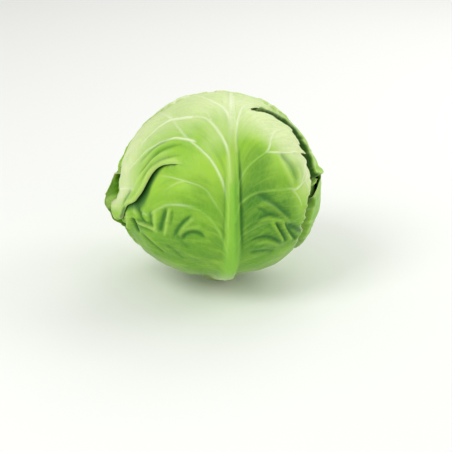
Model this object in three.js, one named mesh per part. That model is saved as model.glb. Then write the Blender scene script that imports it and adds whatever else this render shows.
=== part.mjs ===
// Cabbage head: a dense heart of folded leaves on a cut stump, clasped by six wrapper leaves.
//
// Frame: millimetres, +Z up. The origin is the middle of the stump's cut face, which the head
// stands on. The front leaf, whose rib runs up the middle of the face, looks along -Y.
//
// Every leaf is laid out in its own coordinates on the round of the head:
//   along    the polar angle from the stem (0) over the side (90) to the crown (180) and past it
//   lateral  the angle to either side of the plane that the leaf's rib grows in
// A row of a leaf is named by its station, the angle along the rib where it starts. From there it
// sweeps towards the crown and levels out, as the side veins do, so that each side vein is a row.
//
// The leaves lie in layers. A leaf takes up a slot of radial room inside its outline, and the room
// it takes fades out beyond its edge, so that the leaves under it swell up to meet that edge.

import * as THREE from "three";
import { mergeVertices } from "three/addons/utils/BufferGeometryUtils.js";

// ---------------------------------------------------------------- driving dimensions

const HEAD_RADIUS = 90.5; // the round of the head, seen from above
const CROWN_HEIGHT = 88; // from the widest level up to the crown
const BASE_DEPTH = 71; // from the widest level down to the underside of the leaves
const WIDEST_LEVEL = 78; // height of the widest level over the cut face

const STUMP_RADIUS = 16;
const STUMP_CHAMFER = 1.2;
const STUMP_WAIST = 9; // height up to which it is straight
const STUMP_TOP = 24; // height at which the heart sits on it
const STUMP_TAPER = 0.8; // its width at the top, as a share of that at the foot

const BLADE = 1.0; // thickness of a leaf blade
const CLEARANCE = 0.9; // between a leaf and what it lies on
const SLOT = 3.8; // radial room that a leaf blade takes, with its swellings
const BERTH = 5; // degrees beyond its edge that a leaf's slot stays whole
const FADE = 30; // degrees beyond its edge by which a leaf's slot has faded out
const RIB_ROOM = 9; // degrees to either side that an inner leaf's rib keeps free

const SWEEP_REACH = 8; // degrees from the rib over which a vein turns from along it to across it
const VEIN_RIDGE = 0.9; // height of a side vein
const PUFF = 1.3; // how far the blade swells between two side veins
const EDGE_BAND = 9; // degrees next to the margin that wave and flare
const TIP_BAND = 1.4; // how much faster they fade towards the tip of the leaf
const WAVE = 0.6; // how far the margin waves, in mm
const TEAR_OPENS = 22; // degrees from the end of a tear to where it stands fully open
const TEAR_REACH = 10; // degrees to either side that a tear lifts or drops the leaf
const HIDDEN_RIB = 0.6; // height of an inner leaf's rib, as a share of a wrapper leaf's

const STUMP_FINISH = { color: 0xe6e2c4, roughness: 0.7, metalness: 0 };
const HEART_FINISH = { color: 0xd9e6ae, roughness: 0.5, metalness: 0 };
const INNER_LEAF_FINISH = { color: 0xbfd98a, roughness: 0.45, metalness: 0 };
const WRAPPER_LEAF_FINISH = { color: 0x8fc04a, roughness: 0.45, metalness: 0 };

// ---------------------------------------------------------------- small mathematics

const DEG = Math.PI / 180;
const clamp = (x, low, high) => Math.min(high, Math.max(low, x));

function smoothstep(from, to, x) {
  const t = clamp((x - from) / (to - from), 0, 1);
  return t * t * (3 - 2 * t);
}

// A smooth curve through knots [[x, y], ...], level beyond the two ends.
function curve(knots, x) {
  const last = knots.length - 1;
  if (x <= knots[0][0]) return knots[0][1];
  if (x >= knots[last][0]) return knots[last][1];
  let i = 0;
  while (x > knots[i + 1][0]) i += 1;
  const slope = (k) =>
    k === 0 || k === last
      ? 0
      : (knots[k + 1][1] - knots[k - 1][1]) / (knots[k + 1][0] - knots[k - 1][0]);
  const [x0, y0] = knots[i];
  const [x1, y1] = knots[i + 1];
  const h = x1 - x0;
  const t = (x - x0) / h;
  const a = 2 * t ** 3 - 3 * t ** 2 + 1;
  const b = t ** 3 - 2 * t ** 2 + t;
  const c = t ** 3 - t ** 2;
  return a * y0 + b * h * slope(i) + (1 - a) * y1 + c * h * slope(i + 1);
}

// ---------------------------------------------------------------- the leaves

// Rib of a leaf: height over the blade and half width in degrees, by station.
const RIB_HEIGHT = [[15, 5], [40, 4.6], [80, 3.2], [120, 2.2], [155, 1.1], [198, 0.3]];
const RIB_HALF_WIDTH = [[15, 11], [30, 8.5], [50, 6], [80, 4.6], [120, 3.4], [155, 2.2], [198, 1.2]];

// Half widths in degrees by station, for a leaf with nothing special about it.
const PLAIN_WIDTH = [
  [16, 13], [20, 28], [28, 47], [40, 56], [60, 61], [85, 61], [110, 57], [135, 47], [155, 36], [174, 24],
];
const PLAIN_LEAN = [[16, -0.6], [22, -0.4], [40, -0.12], [70, -0.08], [100, 0.2], [140, 0.25], [174, 0]];
const LEVEL = [[0, 0]]; // a rule that is nothing at every station
// Share of its droop that a row has reached, by degrees out from the rib.
const DROOP_SHARE = [
  [26, 0], [34, 0.02], [40, 0.07], [44, 0.165], [48.4, 0.36], [51, 0.47], [57, 0.66], [64, 0.8], [71, 1],
  [76, 1.06],
];
const PLAIN_STATIONS = [
  16, 20, 26, 33, 41, 50, 59, 68, 77, 86, 94, 102, 110, 118, 127, 137, 147, 157, 166, 172,
];
const PLAIN_VEINS = { left: [41, 59, 77, 94, 110, 127, 147], right: [50, 68, 86, 102, 118, 137] };
const PLAIN_SIDE = [0.05, 0.11, 0.2, 0.31, 0.44, 0.58, 0.72, 0.86, 1];

// One side of a leaf, by station: its half width, the lean of its rows (degrees along per degree
// lateral), their droop near the margin in degrees, and the flare of its margin in mm.
function plainSide(width = PLAIN_WIDTH, flare = LEVEL) {
  return { width, lean: PLAIN_LEAN, droop: LEVEL, flare };
}

// The leaves, from the innermost to the outermost. The azimuth of a leaf's rib is counted from -Y
// towards +X. base and tip are its first and last station.
const LEAVES = [
  { name: "inner_leaf_back", azimuth: 178, base: 21, tip: 172, hidden: true },
  { name: "inner_leaf_right", azimuth: 62, base: 21, tip: 166, hidden: true },
  { name: "inner_leaf_left", azimuth: -70, base: 21, tip: 172, hidden: true },
  {
    name: "wrapper_leaf_back_left",
    azimuth: -132,
    base: 16,
    tip: 172,
    stations: [
      16, 20, 26, 33, 41, 50, 56, 61, 66, 70, 74, 78, 82, 86, 92, 98, 104, 111, 119, 127, 137, 147, 157,
      166, 172,
    ],
    veins: { left: [41, 61, 78, 92, 111, 127, 147], right: [50, 66, 86, 104, 119, 137] },
    right: plainSide(
      [
        [16, 13], [20, 28], [28, 47], [38, 64], [50, 70], [56, 64], [60, 56], [64, 52.8], [70.5, 50.8],
        [74, 48.6], [78, 46], [82.4, 43], [85, 44], [89, 48], [93, 48], [97, 45], [104, 39], [116, 32],
        [153, 24], [172, 20],
      ],
      [
        [56, 0], [60, 3], [64, 7], [69, 9.5], [73, 11.5], [76, 9.5], [79, 6.5], [83, 3], [87, 0],
      ],
    ),
  },
  {
    name: "wrapper_leaf_back_right",
    azimuth: 126,
    base: 16,
    tip: 172,
    stations: [
      16, 20, 26, 33, 41, 50, 59, 68, 74, 79, 82, 84, 86, 88, 91, 94, 97, 101, 106, 112, 119, 127, 137,
      147, 157, 166, 172,
    ],
    veins: { left: [41, 59, 74, 94, 112, 127, 147], right: [50, 68, 86, 106, 119, 137] },
    left: plainSide(
      [
        [16, 13], [20, 28], [28, 50], [40, 70], [50, 78], [60, 79], [70, 79], [76, 76], [80, 68],
        [82.5, 57], [84.3, 47], [86, 43], [88, 45], [91, 56], [94, 66], [97, 65], [102, 54], [106, 47],
        [112, 39], [122, 35], [155, 32], [172, 24],
      ],
      [[76, 0], [80, 0.5], [84, 2], [86.5, 6], [88.5, 6], [91, 1.5], [93, 0]],
    ),
    right: plainSide([
      [16, 13], [20, 28], [28, 46], [40, 56], [60, 60], [90, 60], [115, 50], [140, 40], [160, 30],
      [172, 22],
    ]),
  },
  {
    name: "wrapper_leaf_front",
    azimuth: 0,
    base: 16,
    tip: 198,
    ribDrift: [[15, 0], [40, 4], [70, 7], [198, 7]],
    tear: { side: "left", station: 97, from: 25, gap: 3.2, lift: 4.2, drop: 1.0 },
    stations: [
      16, 20, 26, 33, 41, 50, 58, 65, 72, 79, 83, 87, 90, 93, 97, 101, 105, 110, 115, 120, 126, 132,
      138, 144, 150, 157, 166, 177, 188, 198,
    ],
    veins: { left: [41, 58, 79, 87, 101, 126, 150], right: [50, 65, 79, 90, 101, 138] },
    left: {
      width: [[16, 13], [20, 28], [28, 47], [40, 58], [58, 67], [75, 72], [97, 74]],
      widthPastTear: [
        [97, 84], [100, 84], [104, 82], [112, 80], [122, 77], [135, 71], [148, 63], [160, 54],
        [175, 43], [198, 24],
      ],
      lean: [
        [16, -0.6], [22, -0.4], [40, -0.12], [80, -0.05], [90, 0.1], [96, 0.12], [101, 0.5], [128, 0.25],
        [198, 0],
      ],
      droop: [[40, 0], [60, 6], [80, 21], [89, 38], [97, 44], [101, 26], [105, 0]],
      flare: [[40, 0], [75, 0.6], [97, 0.5], [110, 0.4], [140, 0.4]],
    },
    right: {
      width: [
        [16, 13], [20, 28], [28, 44], [40, 46], [67, 45.5], [73, 46.5], [80, 48.5], [87, 51.3], [91, 54],
        [93.5, 54.5], [95.3, 52.3], [98.7, 48.2], [107.8, 43.5], [117.7, 39.2], [128.5, 33.7], [132, 28.5],
        [136, 21.5], [140, 16.5], [144, 12], [148, 13], [156, 19], [166, 25], [182, 25], [198, 18],
      ],
      lean: [[16, -0.6], [22, -0.4], [40, -0.12], [88, 0], [101, 0.5], [130, 0.4], [150, 0.2], [198, 0]],
      droop: LEVEL,
      flare: [[40, 0], [90, 0.6], [150, 0.4]],
    },
  },
].map((leaf) => ({
  ribDrift: [[15, 0]],
  stations: PLAIN_STATIONS.filter((station) => station >= leaf.base && station <= leaf.tip),
  veins: PLAIN_VEINS,
  left: plainSide(),
  right: plainSide(),
  ...leaf,
}));

// Half width of the leaf at a station. Past the tear it may differ from what is below it.
function halfWidth(leaf, side, station, pastTear) {
  const rule = leaf[side];
  const knots = pastTear && rule.widthPastTear ? rule.widthPastTear : rule.width;
  const phase = leaf.azimuth * DEG + (side === "left" ? 1.7 : 0);
  const wave = Math.sin(station * 0.33 + phase) + 0.6 * Math.sin(station * 0.71 + 2 * phase);
  return curve(knots, station) + 0.8 * smoothstep(20, 50, station) * wave;
}

// Sweep of a row: how far it has climbed when it has turned away from the rib.
function sweepOf(leaf, station) {
  return curve([[15, 0], [40, 8], [70, 14], [100, 25], [leaf.tip - 55, 27], [leaf.tip, -4]], station);
}

// Angle along the head for a point of a row, out degrees to the side of the rib.
function alongOf(leaf, side, station, out) {
  const rule = leaf[side];
  return (
    station +
    sweepOf(leaf, station) * (1 - Math.exp(-out / SWEEP_REACH)) +
    curve(rule.lean, station) * out -
    curve(rule.droop, station) * curve(DROOP_SHARE, out)
  );
}

// The unit vector from the head's middle for a leaf's own angles.
function direction(leaf, along, lateral) {
  const turn = leaf.azimuth * DEG;
  const flat = Math.cos(lateral * DEG) * Math.sin(along * DEG);
  const side = Math.sin(lateral * DEG);
  return new THREE.Vector3(
    flat * Math.sin(turn) + side * Math.cos(turn),
    -flat * Math.cos(turn) + side * Math.sin(turn),
    -Math.cos(lateral * DEG) * Math.cos(along * DEG),
  );
}

// The station and the distance out from the rib, in degrees, of a direction in a leaf's own terms.
function stationOf(leaf, dir) {
  const turn = leaf.azimuth * DEG;
  const outward = dir.x * Math.sin(turn) - dir.y * Math.cos(turn);
  const lateral = Math.asin(clamp(dir.x * Math.cos(turn) + dir.y * Math.sin(turn), -1, 1)) / DEG;
  let along = Math.atan2(outward, -dir.z) / DEG;
  if (along < -75) along += 360;
  let low = -120;
  let high = 330;
  let station = 0;
  let out = 0;
  let side = "right";
  for (let step = 0; step < 26; step += 1) {
    station = (low + high) / 2;
    const offset = lateral - curve(leaf.ribDrift, station);
    side = offset < 0 ? "left" : "right";
    out = Math.abs(offset);
    if (alongOf(leaf, side, station, out) < along) low = station;
    else high = station;
  }
  return { station, out, side };
}

// How fully a leaf covers a direction: 1 inside its outline, fading to 0 beyond it.
function coverOf(leaf, at) {
  const pastTear = leaf.tear && at.station > leaf.tear.station;
  const inside = clamp(at.station, leaf.base, leaf.tip);
  const beyond = Math.max(
    at.out - halfWidth(leaf, at.side, inside, pastTear),
    at.station - leaf.tip,
    leaf.base - at.station,
  );
  return 1 - smoothstep(BERTH, FADE, beyond);
}

// How far a leaf is free to swell in a direction: 1 in the open, 0 under the leaves outside it.
function freedomOf(layer, dir) {
  const covers = LEAVES.slice(layer + 1).map((leaf) => coverOf(leaf, stationOf(leaf, dir)));
  return 1 - Math.max(0, ...covers);
}

// Radius of the smooth round of the head.
function roundOf(dir) {
  const depth = dir.z > 0 ? CROWN_HEIGHT : BASE_DEPTH;
  return 1 / Math.sqrt((dir.x ** 2 + dir.y ** 2) / HEAD_RADIUS ** 2 + dir.z ** 2 / depth ** 2);
}

// Radius of the floor of a layer: the round of the head, less the slots of that leaf and of those
// outside it. The heart's is layer 0 with nothing of its own.
function floorOf(layer, dir) {
  let radius = roundOf(dir);
  for (let i = layer; i < LEAVES.length; i += 1) {
    const leaf = LEAVES[i];
    const at = stationOf(leaf, dir);
    const rib = leaf.hidden ? HIDDEN_RIB * curve(RIB_HEIGHT, at.station) : 0;
    radius -= (SLOT + rib * Math.exp(-((at.out / RIB_ROOM) ** 2))) * coverOf(leaf, at);
  }
  return radius;
}

// Height of the swelling between the side veins that a station lies between.
function puffOf(veins, station) {
  const above = veins.findIndex((vein) => vein > station);
  if (above < 1) return 0;
  const share = (station - veins[above - 1]) / (veins[above] - veins[above - 1]);
  return PUFF * Math.sin(Math.PI * share);
}

// What the tear does to a point: how far it lifts the leaf there, and how far its row slips back.
function tearAt(leaf, side, station, out, pastTear) {
  const tear = leaf.tear;
  if (!tear || side !== tear.side || out <= tear.from) return { lift: 0, slip: 0 };
  const open = smoothstep(0, TEAR_OPENS, out - tear.from);
  const slip = station === tear.station && !pastTear ? (tear.gap * open) / (HEAD_RADIUS * DEG) : 0;
  const near = 1 - smoothstep(0, TEAR_REACH, Math.abs(station - tear.station));
  const height = pastTear ? tear.lift : -tear.drop;
  return { lift: height * near * open * (1 - 0.7 * smoothstep(50, 72, out)), slip };
}

// Outer and inner point of a leaf, at a share (0 to 1) of the half width on one side of a station.
function leafPoints(leaf, layer, side, station, share, panel) {
  const pastTear = panel === "upper";
  const width = halfWidth(leaf, side, station, pastTear);
  const out = share * width;
  const tear = tearAt(leaf, side, station, out, pastTear);
  const lateral = curve(leaf.ribDrift, station) + (side === "left" ? -out : out);
  const dir = direction(leaf, alongOf(leaf, side, station, out) - tear.slip, lateral);

  const edge = 1 - smoothstep(0, EDGE_BAND, Math.min(width - out, TIP_BAND * (leaf.tip - station)));
  const fromRib = out / curve(RIB_HALF_WIDTH, station);
  const free = leaf.hidden ? 0 : freedomOf(layer, dir);
  const wave = WAVE * free * edge * (1 + Math.sin(0.52 * station + leaf.azimuth));
  const puff = free * puffOf(leaf.veins[side], station) * smoothstep(1, 3, fromRib) * (1 - edge);
  const flare = curve(leaf[side].flare, station) * edge ** 1.4;
  const ribHeight = (leaf.hidden ? HIDDEN_RIB : 1) * curve(RIB_HEIGHT, station);
  const rib = fromRib < 1 ? ribHeight * (1 - fromRib ** 2) ** 0.7 : 0;
  const onVein = leaf.veins[side].includes(station) && fromRib >= 1 && share < 1;
  const vein = onVein ? VEIN_RIDGE * free * (1 - 0.6 * share) : 0;

  const inner = floorOf(layer, dir) + CLEARANCE + Math.max(0, wave + puff + flare + tear.lift);
  const place = (radius) => dir.clone().multiplyScalar(radius).add(new THREE.Vector3(0, 0, WIDEST_LEVEL));
  return { outer: place(inner + BLADE + rib + vein), inner: place(inner) };
}

// The closed shell of a leaf: a grid of stations and shares, cut open along its tear, as an outer
// and an inner sheet that are split into the same triangles, with a wall round every free edge.
function leafGeometry(leaf, layer) {
  const sharesOf = (side, station) => {
    const width = halfWidth(leaf, side, station, leaf.tear && station > leaf.tear.station);
    const rib = Math.min(0.6, curve(RIB_HALF_WIDTH, station) / width);
    return [0.45 * rib, rib, ...PLAIN_SIDE.slice(1).map((share) => rib + (1 - rib) * share)];
  };
  const perSide = PLAIN_SIDE.length + 1;
  const columns = [];
  for (let j = perSide; j >= 1; j -= 1) columns.push(["left", j]);
  columns.push(["right", 0]);
  for (let j = 1; j <= perSide; j += 1) columns.push(["right", j]);

  const outer = [];
  const inner = [];
  const known = new Map();
  const vertex = (row, column, panel) => {
    const station = leaf.stations[row];
    const [side, j] = columns[column];
    const share = j === 0 ? 0 : sharesOf(side, station)[j - 1];
    const tear = leaf.tear;
    const width = halfWidth(leaf, side, station, panel === "upper");
    const torn = tear && station === tear.station && side === tear.side && share * width > tear.from;
    const key = row + ":" + column + ":" + (torn ? panel : "");
    if (!known.has(key)) {
      known.set(key, outer.length);
      const points = leafPoints(leaf, layer, side, station, share, panel);
      outer.push(points.outer);
      inner.push(points.inner);
    }
    return known.get(key);
  };

  const sheet = [];
  for (let row = 0; row + 1 < leaf.stations.length; row += 1) {
    const panel = leaf.tear && leaf.stations[row] >= leaf.tear.station ? "upper" : "lower";
    for (let column = 0; column + 1 < columns.length; column += 1) {
      const a = vertex(row, column, panel);
      const b = vertex(row, column + 1, panel);
      const c = vertex(row + 1, column + 1, panel);
      const d = vertex(row + 1, column, panel);
      sheet.push([a, b, c], [a, c, d]);
    }
  }

  const free = new Map();
  for (const [a, b, c] of sheet)
    for (const [p, q] of [[a, b], [b, c], [c, a]]) {
      if (free.has(q + "," + p)) free.delete(q + "," + p);
      else free.set(p + "," + q, [p, q]);
    }
  const count = outer.length;
  const faces = [];
  for (const [a, b, c] of sheet) faces.push(a, b, c, count + a, count + c, count + b);
  for (const [p, q] of free.values()) faces.push(q, p, count + p, q, count + p, count + q);
  const positions = [...outer, ...inner].flatMap((p) => [p.x, p.y, p.z]);
  const geometry = new THREE.BufferGeometry();
  geometry.setAttribute("position", new THREE.Float32BufferAttribute(positions, 3));
  geometry.setIndex(faces);
  return geometry;
}

// ---------------------------------------------------------------- the heart and the stump

const HEART_AROUND = 30;
const HEART_UP = 20;
const HEART_CLEARANCE = 2.7; // under the innermost leaf, with room for the larger facets
const HEART_BASE = STUMP_TOP + 0.3;

// The dense ball of folded inner leaves, flat where it sits on the stump.
function heartGeometry() {
  const ball = new THREE.SphereGeometry(1, HEART_AROUND, HEART_UP).rotateX(Math.PI / 2);
  ball.deleteAttribute("normal");
  ball.deleteAttribute("uv");
  const geometry = mergeVertices(ball, 1e-4);
  const points = geometry.getAttribute("position");
  for (let i = 0; i < points.count; i += 1) {
    const dir = new THREE.Vector3().fromBufferAttribute(points, i).normalize();
    const place = dir.clone().multiplyScalar(floorOf(0, dir) - HEART_CLEARANCE);
    points.setXYZ(i, place.x, place.y, Math.max(HEART_BASE, place.z + WIDEST_LEVEL));
  }
  return geometry;
}

// The cut stem: a flat round face at the bottom, and a short barrel up into the head.
function stumpGeometry() {
  const profile = [
    [0, 0],
    [STUMP_RADIUS - STUMP_CHAMFER, 0],
    [STUMP_RADIUS, STUMP_CHAMFER],
    [STUMP_RADIUS, STUMP_WAIST],
    [STUMP_TAPER * STUMP_RADIUS, STUMP_TOP],
    [0, STUMP_TOP],
  ].map(([r, z]) => new THREE.Vector2(r, z));
  return new THREE.LatheGeometry(profile, 32).rotateX(Math.PI / 2);
}

// ---------------------------------------------------------------- the assembly

function named(name, geometry, finish) {
  const mesh = new THREE.Mesh(geometry, new THREE.MeshStandardMaterial(finish));
  mesh.name = name;
  return mesh;
}

const head = new THREE.Group();
head.name = "cabbage_head";
head.add(named("stump", stumpGeometry(), STUMP_FINISH));
head.add(named("heart", heartGeometry(), HEART_FINISH));
LEAVES.forEach((leaf, layer) => {
  const finish = leaf.hidden ? INNER_LEAF_FINISH : WRAPPER_LEAF_FINISH;
  head.add(named(leaf.name, leafGeometry(leaf, layer), finish));
});

export default head;
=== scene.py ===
"""Cabbage head: six veined leaves, a folded heart and a cut stump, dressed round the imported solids.

Leaf tables hold degrees and millimetres, and finished meshes are in metres. Each leaf is laid out on
the round of the head in angles of its own: along, from the stem (0) over the side (90) to the crown
(180), and lateral, to either side of the plane that its rib grows in. A row of a leaf is named by its
station, the angle along the rib where it starts.
"""

import logging
import math
from dataclasses import dataclass, field
from enum import Enum
from functools import cached_property

import bmesh
import bpy
import numpy as np
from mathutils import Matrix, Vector


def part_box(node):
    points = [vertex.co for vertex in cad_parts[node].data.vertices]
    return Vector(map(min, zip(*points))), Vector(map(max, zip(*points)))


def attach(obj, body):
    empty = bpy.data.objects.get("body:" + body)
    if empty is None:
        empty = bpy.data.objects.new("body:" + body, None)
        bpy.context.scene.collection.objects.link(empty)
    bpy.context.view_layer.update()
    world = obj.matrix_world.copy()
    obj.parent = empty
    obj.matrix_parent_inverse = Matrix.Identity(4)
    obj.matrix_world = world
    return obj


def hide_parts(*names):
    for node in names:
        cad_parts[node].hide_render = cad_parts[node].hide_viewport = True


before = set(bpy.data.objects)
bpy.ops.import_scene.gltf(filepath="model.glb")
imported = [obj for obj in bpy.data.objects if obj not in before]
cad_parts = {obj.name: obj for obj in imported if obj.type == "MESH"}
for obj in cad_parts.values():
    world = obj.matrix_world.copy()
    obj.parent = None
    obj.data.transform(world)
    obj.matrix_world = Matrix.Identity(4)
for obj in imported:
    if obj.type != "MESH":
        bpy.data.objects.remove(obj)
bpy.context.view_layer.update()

LOG = logging.getLogger("cabbage_head")
MM = 0.001
# vertices closer than this, in metres, are one; a face is flat to this, in mm
WELD = 1e-6
FLAT = 0.01
DEG = math.pi / 180
Array = np.ndarray
Tone = bpy.types.NodeSocket | tuple[float, float, float, float]
Knot = tuple[float, float]
Knots = tuple[Knot, ...]


# ---------------------------------------------------------------- small mathematics


def smoothstep(start: float, end: float, x: Array | float) -> Array:
    """Rises smoothly from 0 at start to 1 at end.

    Args:
        start: where the rise begins.
        end: where it is complete.
        x: the places to read it at.

    Returns:
        The share risen at each place.
    """
    t = np.clip((x - start) / (end - start), 0.0, 1.0)
    return t * t * (3 - 2 * t)


def bell(distance: Array, half_width: Array | float) -> Array:
    """A rounded ridge: 1 on its line, fading out over its half width."""
    return np.exp(-((distance / half_width) ** 2))


@dataclass(frozen=True)
class Curve:
    """A smooth rule through knots, level beyond its two ends."""

    knots: Knots

    @cached_property
    def table(self) -> tuple[Array, Array, Array]:
        """Works out the slopes of the rule at its knots.

        Returns:
            The places, values and slopes.
        """
        x, y = np.array(self.knots, float).T
        slope = np.zeros_like(x)
        slope[1:-1] = (y[2:] - y[:-2]) / (x[2:] - x[:-2])
        return x, y, slope

    def __call__(self, at: Array | float) -> Array:
        """Reads the rule.

        Args:
            at: the places to read it at.

        Returns:
            The rule's value at each place.
        """
        x, y, slope = self.table
        if len(x) == 1:
            return np.full(np.shape(at), y[0])
        at = np.clip(at, x[0], x[-1])
        i = np.clip(np.searchsorted(x, at) - 1, 0, len(x) - 2)
        h = x[i + 1] - x[i]
        t = (at - x[i]) / h
        a = 2 * t**3 - 3 * t**2 + 1
        b = t**3 - 2 * t**2 + t
        c = t**3 - t**2
        return a * y[i] + b * h * slope[i] + (1 - a) * y[i + 1] + c * h * slope[i + 1]


class Ripple:
    """Smooth seeded unevenness on the round of the head: waves that run in many directions."""

    WAVES = 18
    LENGTHS = (0.7, 1.5)

    def __init__(self, seed: int, wavelength: float) -> None:
        """Draws the waves.

        Args:
            seed: seed of the draw.
            wavelength: middling length of a wave, in mm.
        """
        draw = np.random.default_rng(seed)
        heading = draw.normal(size=(self.WAVES, 3))
        heading /= np.linalg.norm(heading, axis=1, keepdims=True)
        length = wavelength * draw.uniform(*self.LENGTHS, self.WAVES)
        self.wave = heading * (2 * math.pi / length)[:, None]
        self.phase = draw.uniform(0, 2 * math.pi, self.WAVES)

    def __call__(self, points: Array) -> Array:
        """The unevenness, about -1 to 1, at points in mm."""
        return np.sin(points @ self.wave.T + self.phase).sum(1) / math.sqrt(2 * len(self.phase))


# ---------------------------------------------------------------- the round of the head


@dataclass(frozen=True)
class HeadShape:
    """The smooth round that the leaves lie on, in mm.

    radius: half its width; crown and depth: how far it reaches above and below its middle; middle: the
    height of that over the ground.
    """

    radius: float = 90.5
    crown: float = 88.0
    depth: float = 71.0
    middle: float = 78.0

    def radius_at(self, rays: Array) -> Array:
        """Measures the round.

        Args:
            rays: unit rays from its middle.

        Returns:
            The radius in mm along each ray.
        """
        depth = np.where(rays[:, 2] > 0, self.crown, self.depth)
        flat = (rays[:, 0] ** 2 + rays[:, 1] ** 2) / self.radius**2
        return 1 / np.sqrt(flat + rays[:, 2] ** 2 / depth**2)

    def points(self, rays: Array, radius: Array) -> Array:
        """Points in mm at a radius along rays from the middle of the head."""
        return rays * radius[:, None] + np.array([0, 0, self.middle])


HEAD = HeadShape()
MM_PER_DEGREE = HEAD.radius * DEG


# ---------------------------------------------------------------- how a leaf is laid out


@dataclass(frozen=True)
class Swing:
    """How a margin runs in and out: waves as (degrees, radians per station, turns of the phase)."""

    waves: tuple[tuple[float, float, float], ...]

    def __call__(self, station: Array, phase: Array) -> Array:
        """The swing in degrees at stations of a leaf that has a phase of its own."""
        return sum(size * np.sin(station * pace + turn * phase) for size, pace, turn in self.waves)


LEVEL = Curve(((0, 0),))
EVERYWHERE = Curve(((0, 1),))

# a plain leaf's half width in degrees, and the degrees along that a row climbs per degree out
PLAIN_WIDTH = Curve(
    ((16, 13), (20, 28), (28, 47), (40, 56), (60, 61), (85, 61), (110, 57), (135, 47), (155, 36), (174, 24))
)
PLAIN_LEAN = Curve(
    ((16, -0.6), (22, -0.4), (40, -0.12), (70, -0.08), (100, 0.2), (140, 0.25), (174, 0))
)
# how far rows climb beside the rib, in degrees, and over how many degrees out
CLIMB = ((15, 0), (40, 8), (70, 14), (100, 25))
CLIMB_NEAR_TIP = 27.0
TIP_STRETCH = 55.0
TIP_DROP = -4.0
CLIMB_OVER = 8.0
# how much of a side's droop a row has at each offset
DROOP_SHARE = Curve(
    ((26, 0), (34, 0.02), (40, 0.07), (44, 0.165), (48.4, 0.36), (51, 0.47), (57, 0.66), (64, 0.8), (71, 1),
     (76, 1.06))
)
# the rib, by station: its height in mm and its half width in degrees
RIB_HEIGHT = Curve(((15, 5), (40, 4.6), (80, 3.2), (120, 2.2), (155, 1.1), (198, 0.3)))
RIB_HALF_WIDTH = Curve(
    ((15, 11), (30, 8.5), (50, 6), (80, 4.6), (120, 3.4), (155, 2.2), (198, 1.2))
)
# where the rib's two flanks round off, and its grooves as (place, half width, depth), in shares of it
LEFT_FLANK = (0.25, 1.25)
RIGHT_FLANK = (0.45, 1.08)
RIB_GROOVES = ((-0.32, 0.12, 0.13), (0.3, 0.13, 0.12))
# the broad swing of a margin and the small lobes and nicks on it, with where they start
BROAD_SWING = Swing(((0.8, 0.33, 1.0), (0.48, 0.71, 2.0)))
BROAD_START = (20.0, 50.0)
BROAD_LEFT_PHASE = 1.7
LOBES = Swing(((0.55, 0.9, 1.0), (0.35, 2.1, 1.7)))
LOBE_START = (24.0, 45.0)
LOBE_PHASES = (2.0, 5.0)
NICK_BEATS = (Swing(((1.0, 1.37, 0.6),)), Swing(((1.0, 0.47, 1.0),)))
NICK_DEPTH = 1.8
# where a ray is looked for on a leaf, and how far past the stem its angles run
SEARCH = (-120.0, 330.0)
SEARCH_STEPS = 24
PAST_STEM = -75.0
# stations ahead and behind that a margin's slant is read over
SLANT_STEP = 1.5
# stands for a distance in mm to a tear that a leaf doesn't have
FAR = 99.0
# mm on the leaf to a unit of its flat chart
CHART_UNIT = 10.0


class Side(Enum):
    """A side of a leaf, as seen from outside with the stem down."""

    LEFT = -1
    RIGHT = 1


@dataclass(frozen=True)
class LeafSide:
    """One side of a leaf, by station.

    width: half width in degrees, and width_past_tear the same above a tear; lean: degrees along that a
    row climbs per degree out; droop: how far rows hang near the margin, in degrees; flare: how far the
    margin stands off, in mm; nicks: small tears in the margin as (station, depth in degrees, half width
    in stations).
    """

    width: Curve = PLAIN_WIDTH
    lean: Curve = PLAIN_LEAN
    droop: Curve = LEVEL
    flare: Curve = LEVEL
    width_past_tear: Curve | None = None
    nicks: tuple[tuple[float, float, float], ...] = ()


@dataclass(frozen=True)
class Tear:
    """A tear from the margin towards the rib, along one row.

    The lower panel tucks under the upper one, whose torn edge rolls up into a lip. Along and across are
    in degrees. side and station: where it runs; start: how far out from the rib it starts; end_fade: how
    far short of that its paint fades; opens_over: how far it takes to open; lift: the lip's height in
    mm; closes and closes_by: where the lip settles again, and by what share; tuck and tuck_over: how far
    the lower panel slides under, and over what reach; tail, tail_over and tail_runs: how far the lip's
    outer end hangs down, over what reach and where; lip: the lip's section; shade: reach in mm of the
    shaded green below it, by offset from the rib.
    """

    side: Side = Side.LEFT
    station: float = 97.0
    start: float = 25.0
    end_fade: float = 6.0
    opens_over: float = 14.0
    lift: float = 5.2
    closes: tuple[float, float] = (50.0, 70.0)
    closes_by: float = 0.5
    tuck: float = 4.0
    tuck_over: float = 13.0
    tail: float = 30.0
    tail_over: float = 14.0
    tail_runs: tuple[float, float] = (64.0, 82.0)
    lip: Curve = Curve(((0, 0.62), (1.4, 0.95), (3.2, 1.0), (8, 0.62), (15, 0.22), (24, 0)))
    shade: Curve = Curve(((25, 3), (37, 5.5), (43, 9.5), (48, 14.5), (54, 15), (62, 10)))


class Mark(Enum):
    """What a stroke on a leaf is."""

    VEIN = "vein"
    RIDGE = "ridge"
    FURROW = "furrow"


@dataclass(frozen=True)
class Stroke:
    """A line on the round of the head, in a leaf's own angles, that a vein or a fold follows.

    path: points as (along, lateral) in degrees; height and half_width: in mm; tint: how strongly the
    line shows in the leaf's colour, as the pale of a vein, a painted highlight on a fold that stands
    out and painted shade in a fold that sinks in.
    """

    mark: Mark
    path: Knots
    height: float = 0.8
    half_width: float = 1.2
    tint: float = 1.0


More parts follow.
